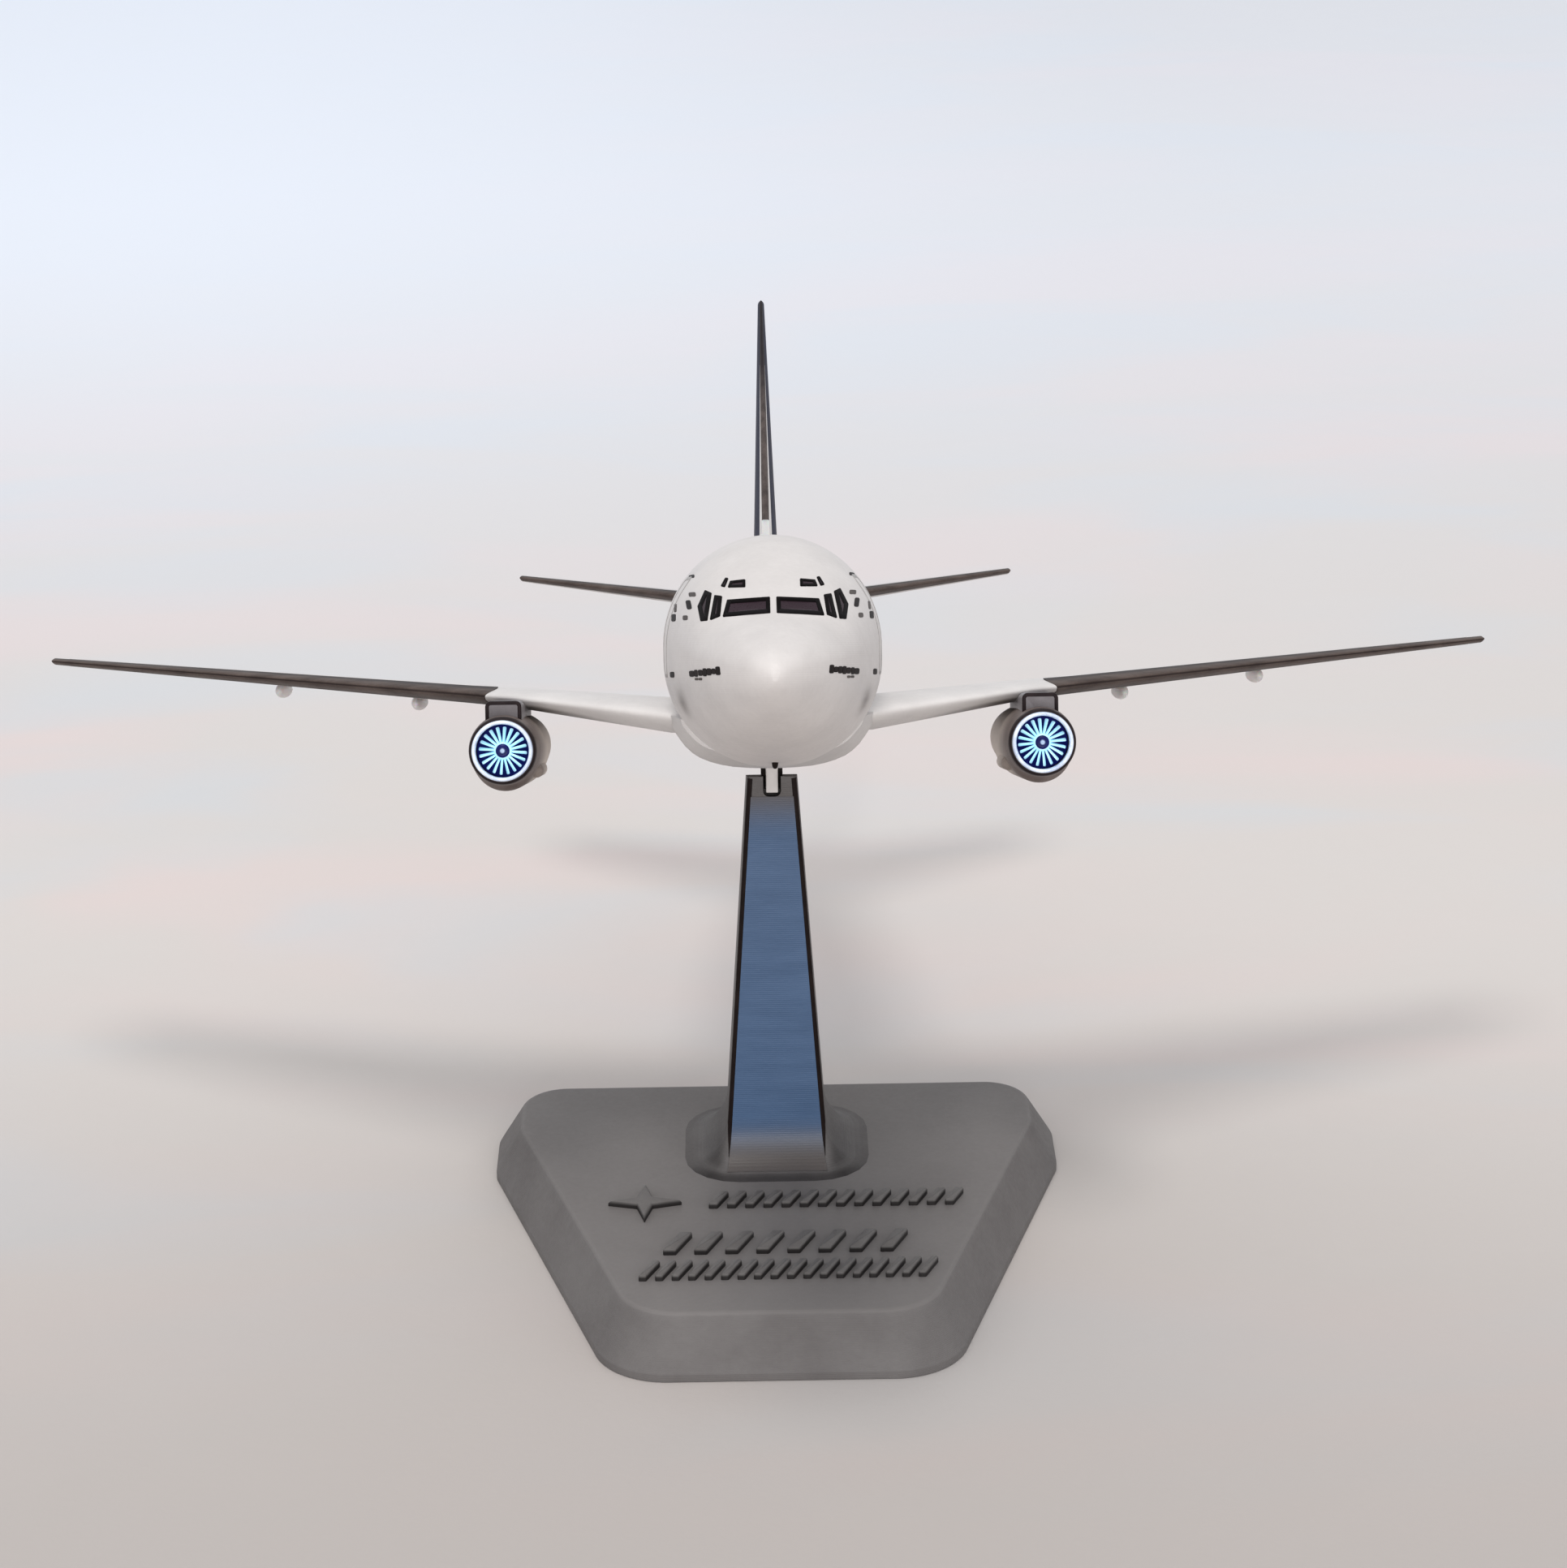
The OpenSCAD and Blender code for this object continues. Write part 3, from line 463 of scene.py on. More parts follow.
def front_skin(x, z):
    """Station where the nose, seen from ahead, has a point at (x, z)."""
    low, high = 0.0, float(NOSE_END)
    for _ in range(40):
        y = (low + high) / 2
        _, top, bottom, _ = body(y)
        if bottom < z < top and side_skin(y, z) > abs(x):
            high = y
        else:
            low = y
    return high


def lifted(skin, u, v, h):
    """Point at height h over a skin, a function of two places."""
    e = 0.02
    p, a, b = Vector(skin(u, v)), Vector(skin(u + e, v)), Vector(skin(u, v + e))
    normal = (a - p).cross(b - p)
    if normal.length < 1e-12:
        return p
    normal.normalize()
    outward = Vector((p.x, (p.y - NOSE_END) * 0.5 if p.y < NOSE_END else 0, p.z + 1.0))
    return p + normal * (h if normal.dot(outward) > 0 else -h)


def ahead(x, z, h=0.0):
    return lifted(lambda u, v: (u, front_skin(u, v), v), x, z, h)


def beside(y, z, h=0.0):
    return lifted(lambda u, v: (side_skin(u, v), u, v), y, z, h)


def wider(outline, d):
    """A convex outline, moved out by d."""
    n = len(outline)
    area = sum(
        outline[i][0] * outline[(i + 1) % n][1] - outline[(i + 1) % n][0] * outline[i][1] for i in range(n)
    )
    made = []
    for i in range(n):
        p, q, r = (Vector(outline[k % n]) for k in (i - 1, i, i + 1))
        a, b = (q - p).normalized(), (r - q).normalized()
        sign = 1 if area > 0 else -1
        na, nb = Vector((a.y, -a.x)) * sign, Vector((b.y, -b.x)) * sign
        m = na + nb
        made.append(q + m * (d / max(0.35, 1 + na.dot(nb))))
    return [tuple(p) for p in made]


def rounded(corners, radius, steps=6):
    """A polygon with each corner turned to an arc. radius is one number or one each."""
    n = len(corners)
    radii = radius if isinstance(radius, list) else [radius] * n
    made = []
    for i, r in enumerate(radii):
        p, q, s = (Vector(corners[k % n][:2]) for k in (i - 1, i, i + 1))
        a, b = (p - q).normalized(), (s - q).normalized()
        half = math.acos(clamp(a.dot(b), -1, 1)) / 2
        r = min(r, 0.48 * math.tan(half) * min((p - q).length, (s - q).length))
        centre = q + (a + b).normalized() * r / math.sin(half)
        start = q + a * r / math.tan(half) - centre
        end = q + b * r / math.tan(half) - centre
        t0 = math.atan2(start.y, start.x)
        turn = math.atan2(start.x * end.y - start.y * end.x, start.dot(end))
        made += [
            (centre.x + r * math.cos(t0 + turn * k / steps), centre.y + r * math.sin(t0 + turn * k / steps))
            for k in range(steps + 1)
        ]
    return made


def denser(outline, step):
    made = []
    for i, p in enumerate(outline):
        q = outline[(i + 1) % len(outline)]
        n = max(1, round(math.dist(p, q) / step))
        made += [mix(p, q, k / n) for k in range(n)]
    return made


def pane(shape, outline, place, rim=0.3, lift=0.05, radius=0.2, paints=(0, 1), sunk=-0.25):
    """A window: a raised dark rim round a glass face, both following the skin."""
    outer = denser(rounded(outline, radius, 4), 0.35)
    centre = mix((0, 0), [sum(c) for c in zip(*outer)], 1 / len(outer))
    inner = wider(outer, -rim)
    band = [
        [place(*p, sunk) for p in outer], [place(*p, lift * 0.6) for p in outer],
        [place(*p, lift) for p in wider(outer, -0.05)], [place(*p, lift) for p in wider(inner, 0.04)],
        [place(*p, lift * 0.35) for p in inner],
    ]
    shape.skin(band, paints[0], caps=False)
    rings = [[place(*mix(p, centre, t), lift * 0.35) for p in inner] for t in (0, 0.3, 0.6, 0.85)]
    rings.append([place(*centre, lift * 0.35)] * len(inner))
    shape.skin(rings, paints[1], caps=False)


def dab(shape, outline, place, lift=0.03, radius=0.15, paint=0):
    """A small painted or inlaid mark that follows the skin."""
    outer = denser(rounded(outline, radius, 4), 0.4)
    centre = mix((0, 0), [sum(c) for c in zip(*outer)], 1 / len(outer))
    rings = [[place(*p, -0.05) for p in outer]]
    rings += [[place(*mix(p, centre, t), lift) for p in outer] for t in (0.03, 0.35, 0.7)]
    rings.append([place(*centre, lift)] * len(outer))
    shape.skin(rings, paint, caps=False)


def bead(place, p, across, low, high):
    """Four points across a raised line, from foot to foot."""
    heights = ((-1, low), (-0.8, high), (0.8, high), (1, low))
    return [place(p[0] + k * across[0], p[1] + k * across[1], h) for k, h in heights]


def ribbon(shape, path, place, width, lift=0.03, paint=0, closed=False, step=1.0):
    """A raised line along a path of (u, v) places."""
    points = []
    ends = list(zip(path, path[1:] + path[:1] if closed else path[1:]))
    for p, q in ends:
        n = max(1, round(math.dist(p, q) / step))
        points += [mix(p, q, k / n) for k in range(n)]
    if not closed:
        points.append(path[-1])
    rings = []
    n = len(points)
    for i, p in enumerate(points):
        a = Vector(points[(i - 1) % n] if closed or i else p)
        b = Vector(points[(i + 1) % n] if closed or i < n - 1 else p)
        d = (b - a).normalized()
        side = Vector((-d.y, d.x)) * width / 2
        rings.append(bead(place, p, side, -0.06, lift))
    if closed:
        rings.append(rings[0])
    shape.skin(rings, paint, caps=False, closed=False)


def both(draw):
    """Draws on the +X side and mirrors the result into one shape."""
    half = Shape()
    draw(half)
    n = len(half.points)
    whole = Shape()
    whole.points = half.points + [(-x, y, z) for x, y, z in half.points]
    whole.faces = half.faces + [[i + n for i in reversed(f)] for f in half.faces]
    whole.paint = half.paint * 2
    return whole


def body_tint(x, y, z):
    """Soft grey patches low on the nose's sides, ahead of the wing roots, and painted shade that greys the
    fuselage towards its belly.
    """
    side = math.exp(-(((abs(x) - 10.3) / 1.0) ** 2) - ((y - 26) / 3.0) ** 2 - ((z + 6) / 1.7) ** 2)
    low = 0.03 * (1 - ease(z, -7, 6)) * ease(y, 1.0, 9)
    # Painted light and shade: the nose's sides are darkened, so a paler wedge, where light falls on top of
    # the nose, runs up from the nose tip to the windscreen
    beside_wedge = ease(abs(x), 0.5 + 0.62 * (z + 3), 1.9 + 0.85 * (z + 3)) if z > -3 else 1.0
    cone = 0.07 * beside_wedge * (1 - ease(z, 3.2, 4.2)) * (1 - ease(y, 20, 40))
    blot = 0.2 * math.exp(-(((abs(x) - 10.6) / 0.6) ** 2) - ((z + 5.6) / 1.2) ** 2) if y < 34 else 0
    return clamp(0.75 * side + blot + low + cone)


nose_y = [0.08, 0.1, 0.14, 0.22, 0.34, 0.5, 0.7, 0.95, 1.3, 1.7, 2.2, 2.8, 3.5]
nose_y += [4.2 + 1.0 * i for i in range(20)] + [24.5 + 1.5 * i for i in range(14)] + [45.8]
nose = Shape()
rings = [[mix((0, 0.08, -3.0), p, k) for p in body_ring(0.08)] for k in (0.05, 0.6)]
rings += [body_ring(y) for y in nose_y] + [body_ring(45.95, 0.05), body_ring(45.99, 0.14)]
nose.skin(rings)
make("nose_section", nose, "body_white", [WHITE], ["fuselage_nose"], tint=body_tint)

socket = Shape().box((-1.55, 101.9, -30), (1.55, 106.7, -12.0))
mid = Shape()
mid.skin(
    [body_ring(46.01, 0.14), body_ring(46.05, 0.05)]
    + [body_ring(y) for y in span(46.2, 127.8, 24)]
    + [body_ring(127.95, 0.05), body_ring(127.99, 0.14)]
)
make("mid_section", mid, "body_white", [WHITE], ["fuselage_mid"], tools=[socket], tint=body_tint)

tail = Shape()
tail.skin(
    [body_ring(128.01, 0.14), body_ring(128.05, 0.05)]
    + [body_ring(y) for y in span(128.2, 199.85, 48)]
    + [body_ring(199.95, 0.04), body_ring(199.99, 0.1)]
)
make("tail_section", tail, "body_white", [WHITE], ["fuselage_tail"], tint=body_tint)

end_z = sum(body(TAIL_END)[1:3]) / 2
cone = Shape()
cone.skin(
    [body_ring(200.02, 0.1), body_ring(200.1, 0.03)]
    + [body_ring(y) for y in span(200.3, 204.3, 8)]
    + [body_ring(204.6, 0.05), body_ring(204.8, 0.2)]
)
bore = Shape().turn([(1.1, 201.9), (1.1, 207)], (0, end_z), steps=48, caps=True)


def cone_tint(x, y, z):
    return 1.0 if math.hypot(x, z - end_z) < 1.15 and y < 204.5 else 0.0


make("tail_exhaust_cone", cone, "tail_grey", [GREY], ["tail_cone"], tools=[bore], tint=cone_tint)

# Windscreen and eyebrow windows, as [x, z] outlines seen from ahead
PANES = [
    [(0.35, 4.1), (5.75, 3.75), (5.2, 5.75), (0.35, 6.0)],
    [(6.0, 3.85), (7.2, 3.4), (6.65, 6.35), (5.75, 6.2)],
    [(7.45, 3.4), (8.25, 3.35), (8.6, 5.1), (7.75, 7.0), (6.95, 6.6)],
]
BROWS = [
    [(3.1, 7.15), (5.15, 7.15), (4.85, 7.95), (3.1, 8.1)],
    [(5.45, 7.2), (5.95, 7.35), (5.4, 8.35), (5.0, 8.3)],
]


def draw_panes(shape):
    for outline, rim in zip(PANES, (0.50, 0.46, 0.52)):
        pane(shape, outline, ahead, rim, 0.06, 0.12)


def draw_brows(shape):
    for outline, rim in zip(BROWS, (0.34, 0.2)):
        pane(shape, outline, ahead, rim, 0.06, 0.12)


make("windscreen", both(draw_panes), "dark_glazing", [RIM, GLASS], ["windscreen_panes"])
make("eyebrows", both(draw_brows), "dark_glazing", [RIM, GLASS], ["eyebrow_windows"])


def slab(u0, v0, u1, v1):
    return [(u0, v0), (u1, v0), (u1, v1), (u0, v1)]


def draw_cabin(shape):
    for i in range(21):
        y = 51 + 3.5 * i
        pane(shape, slab(y - 0.65, 1.65, y + 0.65, 3.55), beside, 0.16, 0.05, 0.55)


cabin = Shape()
draw_cabin(cabin)
pairs(("cabin_windows", cabin, "dark_glazing", [RIM, GLASS], "window_strip", {}))


def draw_doors(shape):
    """Two doors and three smaller hatches on each side."""
    for y0, z0, y1, z1, r, width, lift in (
        (33.4, -2.8, 38.6, 8.6, 0.9, 0.42, 0.05), (134, -2.2, 138.6, 8.4, 0.9, 0.42, 0.05),
        (86.2, 0.2, 89.0, 5.2, 0.6, 0.22, 0.04), (57, -9.6, 65, -4.6, 0.8, 0.22, 0.04),
        (136, -9.6, 143, -4.6, 0.8, 0.22, 0.04),
    ):
        ribbon(shape, rounded(slab(y0, z0, y1, z1), r), beside, width, lift, closed=True)


def draw_marks(shape):
    def mark(u, v, a, b, lean=0.0, paint=0, place=beside):
        dab(
            shape,
            [(u - a - lean, v - b), (u + a - lean, v - b), (u + a + lean, v + b), (u - a + lean, v + b)],
            place, 0.04, min(a, b) * 0.6, paint,
        )

    mark(11.72, -2.65, 0.28, 0.34, place=ahead)
    mark(11.5, 3.95, 0.28, 0.44, place=ahead)
    mark(9.65, 5.35, 0.3, 0.55, 0.12, 0, place=ahead)
    mark(9.25, 6.55, 0.42, 0.26, 0.05, 1, place=ahead)
    mark(10.05, 3.85, 0.3, 0.28, 0, 1, place=ahead)
    mark(11.3, 5.1, 0.16, 0.5, 0, 1, place=ahead)
    mark(9.4, 8.8, 0.36, 0.2, 0, 0, place=ahead)
    # Rows of plain dashes where the maker's titles would be
    dashes = (0.26, 0.36), (0.22, 0.24), (0.26, 0.30), (0.22, 0.34), (0.26, 0.26), (0.2, 0.30), (0.3, 0.26)
    for i, (w, h) in enumerate(dashes):
        mark(6.3 + 0.5 * i, -2.25 - 0.05 * i, w, 1.35 * h, 0.04, 0, place=ahead)
    for i in range(2):
        mark(8.3 + 0.45 * i, -3.15, 0.2, 0.14, 0, 1, place=ahead)


make("door_and_hatch_lines", both(draw_doors), "body_white", [FAINT])
make("small_marks", both(draw_marks), "dark_glazing", [DARK, SEAM])

# Belly fairing under the wing roots, with the key that drops into the arm's slot
HULL = [
    (13.3, -7.8), (12.95, -9.2), (12.4, -10.1), (11.8, -11.0), (11.1, -11.95), (10.2, -12.8), (9.3, -13.4),
    (8.0, -13.95), (6.6, -14.35), (5.0, -14.65), (3, -14.82), (1.5, -14.88), (0, -14.9),
]
belly = Shape()
rings = []
stations = [66, 66.3, 67, 68, 69.5, 71, 73, 75.5, 78] + span(81, 112, 12)
for y in stations + [115, 117.5, 120, 122, 123.5, 125, 126, 126.7, 127]:
    k = min(ease(y, 65.2, 77), ease(-y, -127.8, -116))
    side = [(x * lerp(0.86, 1, k), lerp(-9.4, z, lerp(0.66, 1, k))) for x, z in HULL]
    rings.append([(x, y, z) for x, z in side] + [(-x, y, z) for x, z in reversed(side[:-1])])
belly.skin(rings)
# The tray's tint is an even grey tone, with painted shade darkening it towards its bottom.
make(
    "belly_tray", belly, "body_white", [WING], ["belly_fairing"], tools=[socket],
    tint=lambda x, y, z: 0.10 + 0.10 * ease(-z, 11.5, 14.3),
)
flare = [
    [(-w, 99.9 - d, z), (w, 99.9 - d, z), (w, 101.6, z), (-w, 101.6, z)]
    for z, w, d in (
        (-18.7, 0.8, 0), (-15.6, 0.8, 0), (-15.25, 0.9, 0.1), (-15.0, 1.15, 0.35), (-14.8, 1.6, 0.8),
    )
]
make("belly_key", Shape().skin(flare), "body_white", [WHITE], bevel=(0.16, 3, 40, 0))

blade = Shape()
rings = []
for z, chord, back, thick in (
    (-12.9, 1.4, 0, 0.8), (-13.3, 1.25, 0.12, 0.72), (-13.55, 1.05, 0.3, 0.6), (-13.7, 0.8, 0.45, 0.4),
    (-13.75, 0.5, 0.6, 0.15),
):
    rings.append(
        [(thick / 2 * math.sin(a), 28.3 + back + chord / 2 * (1 - math.cos(a)), z) for a in around(20)]
    )
blade.skin(rings)
make("belly_blade_antenna", blade, "dark_glazing", [DARK], ["belly_antenna"])

# ---------------- wings

# Sections of each surface, as [place along it, leading edge, chord, thickness, height]
WING_TIP, TAIL_TIP, FIN_TIP = 98.399, 38.1, 54.8
ROUND = 0.45  # how much of each tip is rounded
WING_AT = [
    [8.6, 73, 46, 4.6, -8], [13, 73, 46, 4.6, -8], [34, 84, 33, 2.6, -5.4], [WING_TIP, 119, 10.5, 0.95, 0.3],
]
TAIL_AT = [[2.4, 172, 27, 2.2, 8.1], [8, 174, 26, 2.2, 8.1], [TAIL_TIP, 194.5, 9, 0.95, 12.3]]
FIN_AT = [[10, 156, 42, 3.6], [14.6, 156, 42, 3.6], [FIN_TIP, 196, 13, 0.95]]


def half_thick(c, thickness):
    c = clamp(c)
    return max(
        0.11 * clamp(c * 60) if c < 0.02 else 0.11,
        5 * thickness * (0.2969 * math.sqrt(c) - 0.126 * c - 0.3516 * c**2 + 0.2843 * c**3 - 0.1036 * c**4),
    )


def section_at(sections, x):
    """The section at a place along a surface."""
    i = max([0] + [k for k in range(len(sections) - 1) if sections[k][0] <= x])
    a, b = sections[i], sections[i + 1]
    return mix(a, b, (x - a[0]) / (b[0] - a[0]))


def aerofoil(lo, hi, n):
    """(chord fraction, side) round a profile from the upper rear to the lower rear."""
    at = [lo + (hi - lo) * (1 - math.cos(math.pi / 2 * i / n)) for i in range(n + 1)]
    upper = [(c, 1) for c in reversed(at)]
    lower = [(c, -1) for c in at]
    return upper + (lower[1:] if lo == 0 else lower)


def wing_point(s, c, side, grow=0.0, squeeze=1.0):
    x, y, chord, thickness, z = s
    return (x, y + c * chord, z + side * squeeze * half_thick(c, thickness + grow))


def tip_of(sections, x):
    """How far a section near the tip is squeezed, so that the tip is rounded."""
    end = sections[-1][0]
    return math.sqrt(clamp(1 - ((x - (end - ROUND)) / ROUND) ** 2)) if x > end - ROUND else 1.0


def tip_stations(end, n=6):
    return [end - ROUND * (1 - math.sin(math.pi / 2 * k / n)) for k in range(1, n + 1)]


# The slat's inner end, as (height, reach along the span)
NOTCH = [
    (-1.3, 0.0), (-0.9, 0.28), (-0.45, 0.6), (0.0, 0.62), (0.35, 0.3), (0.75, -0.4), (1.0, -0.8),
    (1.3, -1.0),
]
INNER = 36.4  # where the slat begins


def notch(height):
    return table(NOTCH, height)


wing = Shape()
rings = []
outline = aerofoil(0, 1, 30)
for x in [8.6, 13] + span(15, 35, 16):
    s = section_at(WING_AT, x)
    rings.append([wing_point(s, c, side) for c, side in outline])
s = section_at(WING_AT, INNER)
for back, squeeze in ((0.5, 1.0), (0.12, 1.0), (0.06, 0.94)):
    ring = []
    for c, side in outline:
        p = wing_point(s, c, side, 0, squeeze if c < 0.13 else 1)
        reach = notch(side * abs(p[2] - s[4])) if c < 0.125 else 0.2
        ring.append((p[0] + reach - back, p[1], p[2]))
    rings.append(ring)
wing.skin(rings)
outline = aerofoil(0.13, 1, 26)
rings = []
for x in span(INNER + 0.02, 97.9, 30) + tip_stations(WING_TIP):
    s = section_at(WING_AT, x)
    rings.append([wing_point(s, c, side, 0, max(0.05, tip_of(WING_AT, x))) for c, side in outline])
wing.skin(rings)


def wing_tint(x, y, z):
    """A shadow line along the underside of the inner leading edge."""
    if x > INNER + 1:
        return 0.0
    s = section_at(WING_AT, max(8.6, min(x, 36)))
    t = (z - s[4]) / (s[3] / 2)
    edge = lerp(0.92, 0.5, ease(x, 15, 31))
    return lerp(0.0, 0.95, ease(x, 15, 29)) * ease(-t, edge - 0.12, edge + 0.22)


def wing_face(sections):
    """A place on a wing, from span, share of the chord and side, and its section."""

    def place(x, c, side, h=0.0):
        s = section_at(sections, x)
        return (x, s[1] + c * s[2], s[4] + side * (half_thick(c, s[3]) + h))

    return place, lambda x: section_at(sections, x)


def line(shape, face, a, b, width, sides=(1, -1), steps=24):
    """A thin line on a surface between two (span, chord share) places."""
    place, section = face
    for side in sides:
        rings = []
        for p in [mix(a, b, k / steps) for k in range(steps + 1)]:
            chord = section(p[0])[2]
            across = (0, width / 2 / chord) if abs(b[0] - a[0]) > 1 else (width / 2, 0)
            rings.append(bead(lambda u, v, h: place(u, v, side, h), p, across, -0.04, 0.03))
        shape.skin(rings, caps=False, closed=False)


def draw_wing_lines(shape):
    face = wing_face(WING_AT)
    for a, b, width in (
        ((15, 0.72), (33, 0.71), 0.16), ((36, 0.71), (66, 0.72), 0.16), ((68, 0.74), (90, 0.75), 0.14),
    ):
        line(shape, face, a, b, width)
    for x, c in ((15, 0.72), (33, 0.71), (36, 0.71), (66, 0.72), (68, 0.74), (90, 0.75)):
        line(shape, face, (x, c), (x, 0.985), 0.14)
    line(shape, face, (38, 0.58), (64, 0.6), 0.12, (1,))
    for x in (38, 47, 56, 64):
        line(shape, face, (x, 0.585), (x, 0.71), 0.12, (1,), 6)
    line(shape, face, (20, 0.56), (30, 0.56), 0.12, (1,))
    for x in (20, 30):
        line(shape, face, (x, 0.56), (x, 0.71), 0.12, (1,), 6)
    line(shape, face, (38, 0.16), (96, 0.18), 0.12, (1, -1))


slat = Shape()
outline = aerofoil(0, 0.126, 16)
rings = []
stations = [INNER + k for k in (0.0, 0.5, 1.6, 3.4)] + span(43, 97.9, 26) + tip_stations(WING_TIP)
for x in stations:
    s = section_at(WING_AT, x)
    t = clamp((x - INNER) / 62)
    ring = []
    for c, side in outline:
        p = wing_point(s, c, side, lerp(0.25, 0.1, t), max(0.05, tip_of(WING_AT, x)))
        height = side * abs(p[2] - s[4])
        groove = 0.22 * math.exp(-(((p[2] - s[4] + 0.05) / (0.11 + 0.05 * (1 - t))) ** 2))
        shift = notch(height) * (1 - ease(x, INNER, INNER + 3.4))
        ring.append((p[0] + shift, p[1] + groove, p[2]))
    rings.append(ring)
slat.skin(rings)


def slat_tint(x, y, z):
    s = section_at(WING_AT, clamp(x, 36.0, 98.4))
    t = (z - s[4]) / (half_thick(0.126, s[3]) + 0.1)
    top = ease(t, 0.62, 0.9)
    mid = math.exp(-(((t + 0.06) / 0.13) ** 2))
    low = ease(-t, 0.72, 0.95)
    return clamp(0.75 * top + 0.85 * mid + 0.8 * low)


lines = Shape()
draw_wing_lines(lines)
pairs(
    ("wing_panel", wing, "body_white", [WING], "wing", {"tint": wing_tint, "crease": 50}),
    ("wing_lines", lines, "body_white", [FAINT], None, {}),
    ("slat_bar", slat, "edge_bronze", [BRONZE], "slat", {"tint": slat_tint, "crease": 60}),
)

# Canoe-shaped fairings under the outer wing
fairings = Shape()
for x in (47.5, 66.5):
    s = section_at(WING_AT, x)
    y0, y1 = s[1] + 0.5 * s[2], s[1] + s[2] + 2.5
    zc = s[4] - s[3] / 2 - 0.85
    rings = []
    for t in [0, 0.004, 0.015, 0.04, 0.08, 0.14, 0.22, 0.34, 0.5, 0.66, 0.8, 0.9, 0.96, 0.99, 1]:
        r = 1.05 * (math.sin(math.pi * clamp(t) ** 0.75) ** 0.55 if 0 < t < 1 else 0.02)
        z = zc + 0.25 * t
        y = lerp(y0, y1, t)
        rings.append([(x + 0.92 * r * math.cos(a), y, z + min(r * math.sin(a), 0.83)) for a in around(32)])
    fairings.skin(rings)
pairs(("flap_canoes", fairings, "body_white", [MILK], "flap_fairings", {"crease": 60}))

# ---------------- engines

EX, EZ = 34.0, -12.0
OUTLINE = [
    (70.55, 4.0), (70.62, 4.12), (70.8, 4.2), (72, 4.33), (78, 4.6), (86, 4.75), (96, 4.7), (108, 4.35),
    (116.3, 3.92), (116.6, 3.86),
]


def round_reach(angle, dx, dz, r):
    """How far from the axis a circle at (dx, dz) reaches in one direction."""
    if r <= 0:
        return 0
    along = dx * math.cos(angle) + dz * math.sin(angle)
    across = dx * math.sin(angle) - dz * math.cos(angle)
    return along + math.sqrt(r * r - across * across) if abs(across) < r else 0


def capsule(y, a, b, r):
    d = max(a - y, y - b, 0)
    return math.sqrt(r * r - d * d) if d < r else 0


def blended(a, b, k):
    h = clamp(0.5 + 0.5 * (b - a) / k)
    return lerp(a, b, h) + k * h * (1 - h)


def nacelle_ring(y):
    """A ring of the cowling, with the chin below and a small bump at its inboard side."""
    main = table(OUTLINE, y)
    ring = []
    for a in around(120):
        r = main
        chin = round_reach(a, 0, -1.15, capsule(y, 77, 101, 4.1))
        bump = round_reach(a, -3.75, -2.75, capsule(y, 80, 90, 0.95))
        if chin > 0:
            r = blended(r, chin, 0.35)
        if bump > 0:
            r = blended(r, bump, 0.25)
        ring.append((EX + r * math.cos(a), y, EZ + r * math.sin(a)))
    return ring


def hoop(r, y):
    return [(EX + r * math.cos(a), y, EZ + r * math.sin(a)) for a in around(120)]


shell = Shape()
shell.skin(
    [hoop(3.4, 72.95), hoop(3.4, 71.2), hoop(3.87, 71.12), hoop(3.88, 70.6), hoop(3.93, 70.52)], 0,
    caps=False,
)
shell.skin(
    [hoop(3.93, 70.52), hoop(4.03, 70.53)] + [nacelle_ring(y) for y in (70.62, 70.72, 70.85, 71.1, 71.5)], 1,
    caps=False,
)
stations = [71.5, 72.2] + span(73, 80, 12) + span(81, 108, 30) + [110, 112, 114, 115.5, 116.2, 116.5, 116.6]
rear = [hoop(3.7, 116.6), hoop(3.22, 116.5), hoop(3.22, 110)]
shell.skin([nacelle_ring(y) for y in stations] + rear, 0, caps=False)


# Painted light: the inboard side of the cowling, towards its rear, is painted a paler beige where light
# falls on it.
def nacelle_tint(x, y, z):
    return 0.9 * ease(y, 74, 92) * ease(-(x - EX) * 0.8 - (z - EZ) * 0.1, 1.2, 3.6)


RING_OUT, RING_IN = 3.84, 3.36
ring = Shape()
ring.turn(
    [
        (RING_IN, 71.1), (RING_IN, 69.9), (RING_IN + 0.03, 69.76), (RING_IN + 0.1, 69.66),
        (RING_IN + 0.2, 69.6), (RING_OUT - 0.2, 69.6), (RING_OUT - 0.1, 69.66), (RING_OUT - 0.03, 69.76),
        (RING_OUT, 69.9), (RING_OUT, 71.1),
    ],
    (EX, EZ), steps=144,
)
backplate = Shape().turn(
    [
        (0.33, 74), (3.3, 74), (3.35, 73.9), (3.35, 73.05), (3.3, 73.0), (0.36, 73.0), (0.33, 73.04),
        (0.33, 74),
    ],
    (EX, EZ), steps=96,
)
pin = Shape().turn(
    [(0.02, 70.55), (0.2, 70.56), (0.34, 70.6), (0.42, 70.67), (0.455, 70.76), (0.44, 70.83), (0.3, 70.85),
     (0.3, 79.0), (0.02, 79.0)],
    (EX, EZ), steps=40,
)
cap = Shape().turn(
    [
        (0.35, 71.26), (0.35, 70.95), (0.4, 70.91), (0.62, 70.92), (0.76, 70.97), (0.85, 71.06),
        (0.88, 71.17), (0.88, 71.28), (0.35, 71.28),
    ],
    (EX, EZ), steps=64,
)
fan = Shape()
fan.turn(
    [
        (0.35, 72.3), (0.35, 71.3), (0.9, 71.3), (1.0, 71.33), (1.1, 71.42), (1.14, 71.55), (1.14, 72.2),
        (1.1, 72.3), (0.35, 72.3),
    ],
    (EX, EZ), steps=80,
)
BLADES = 20
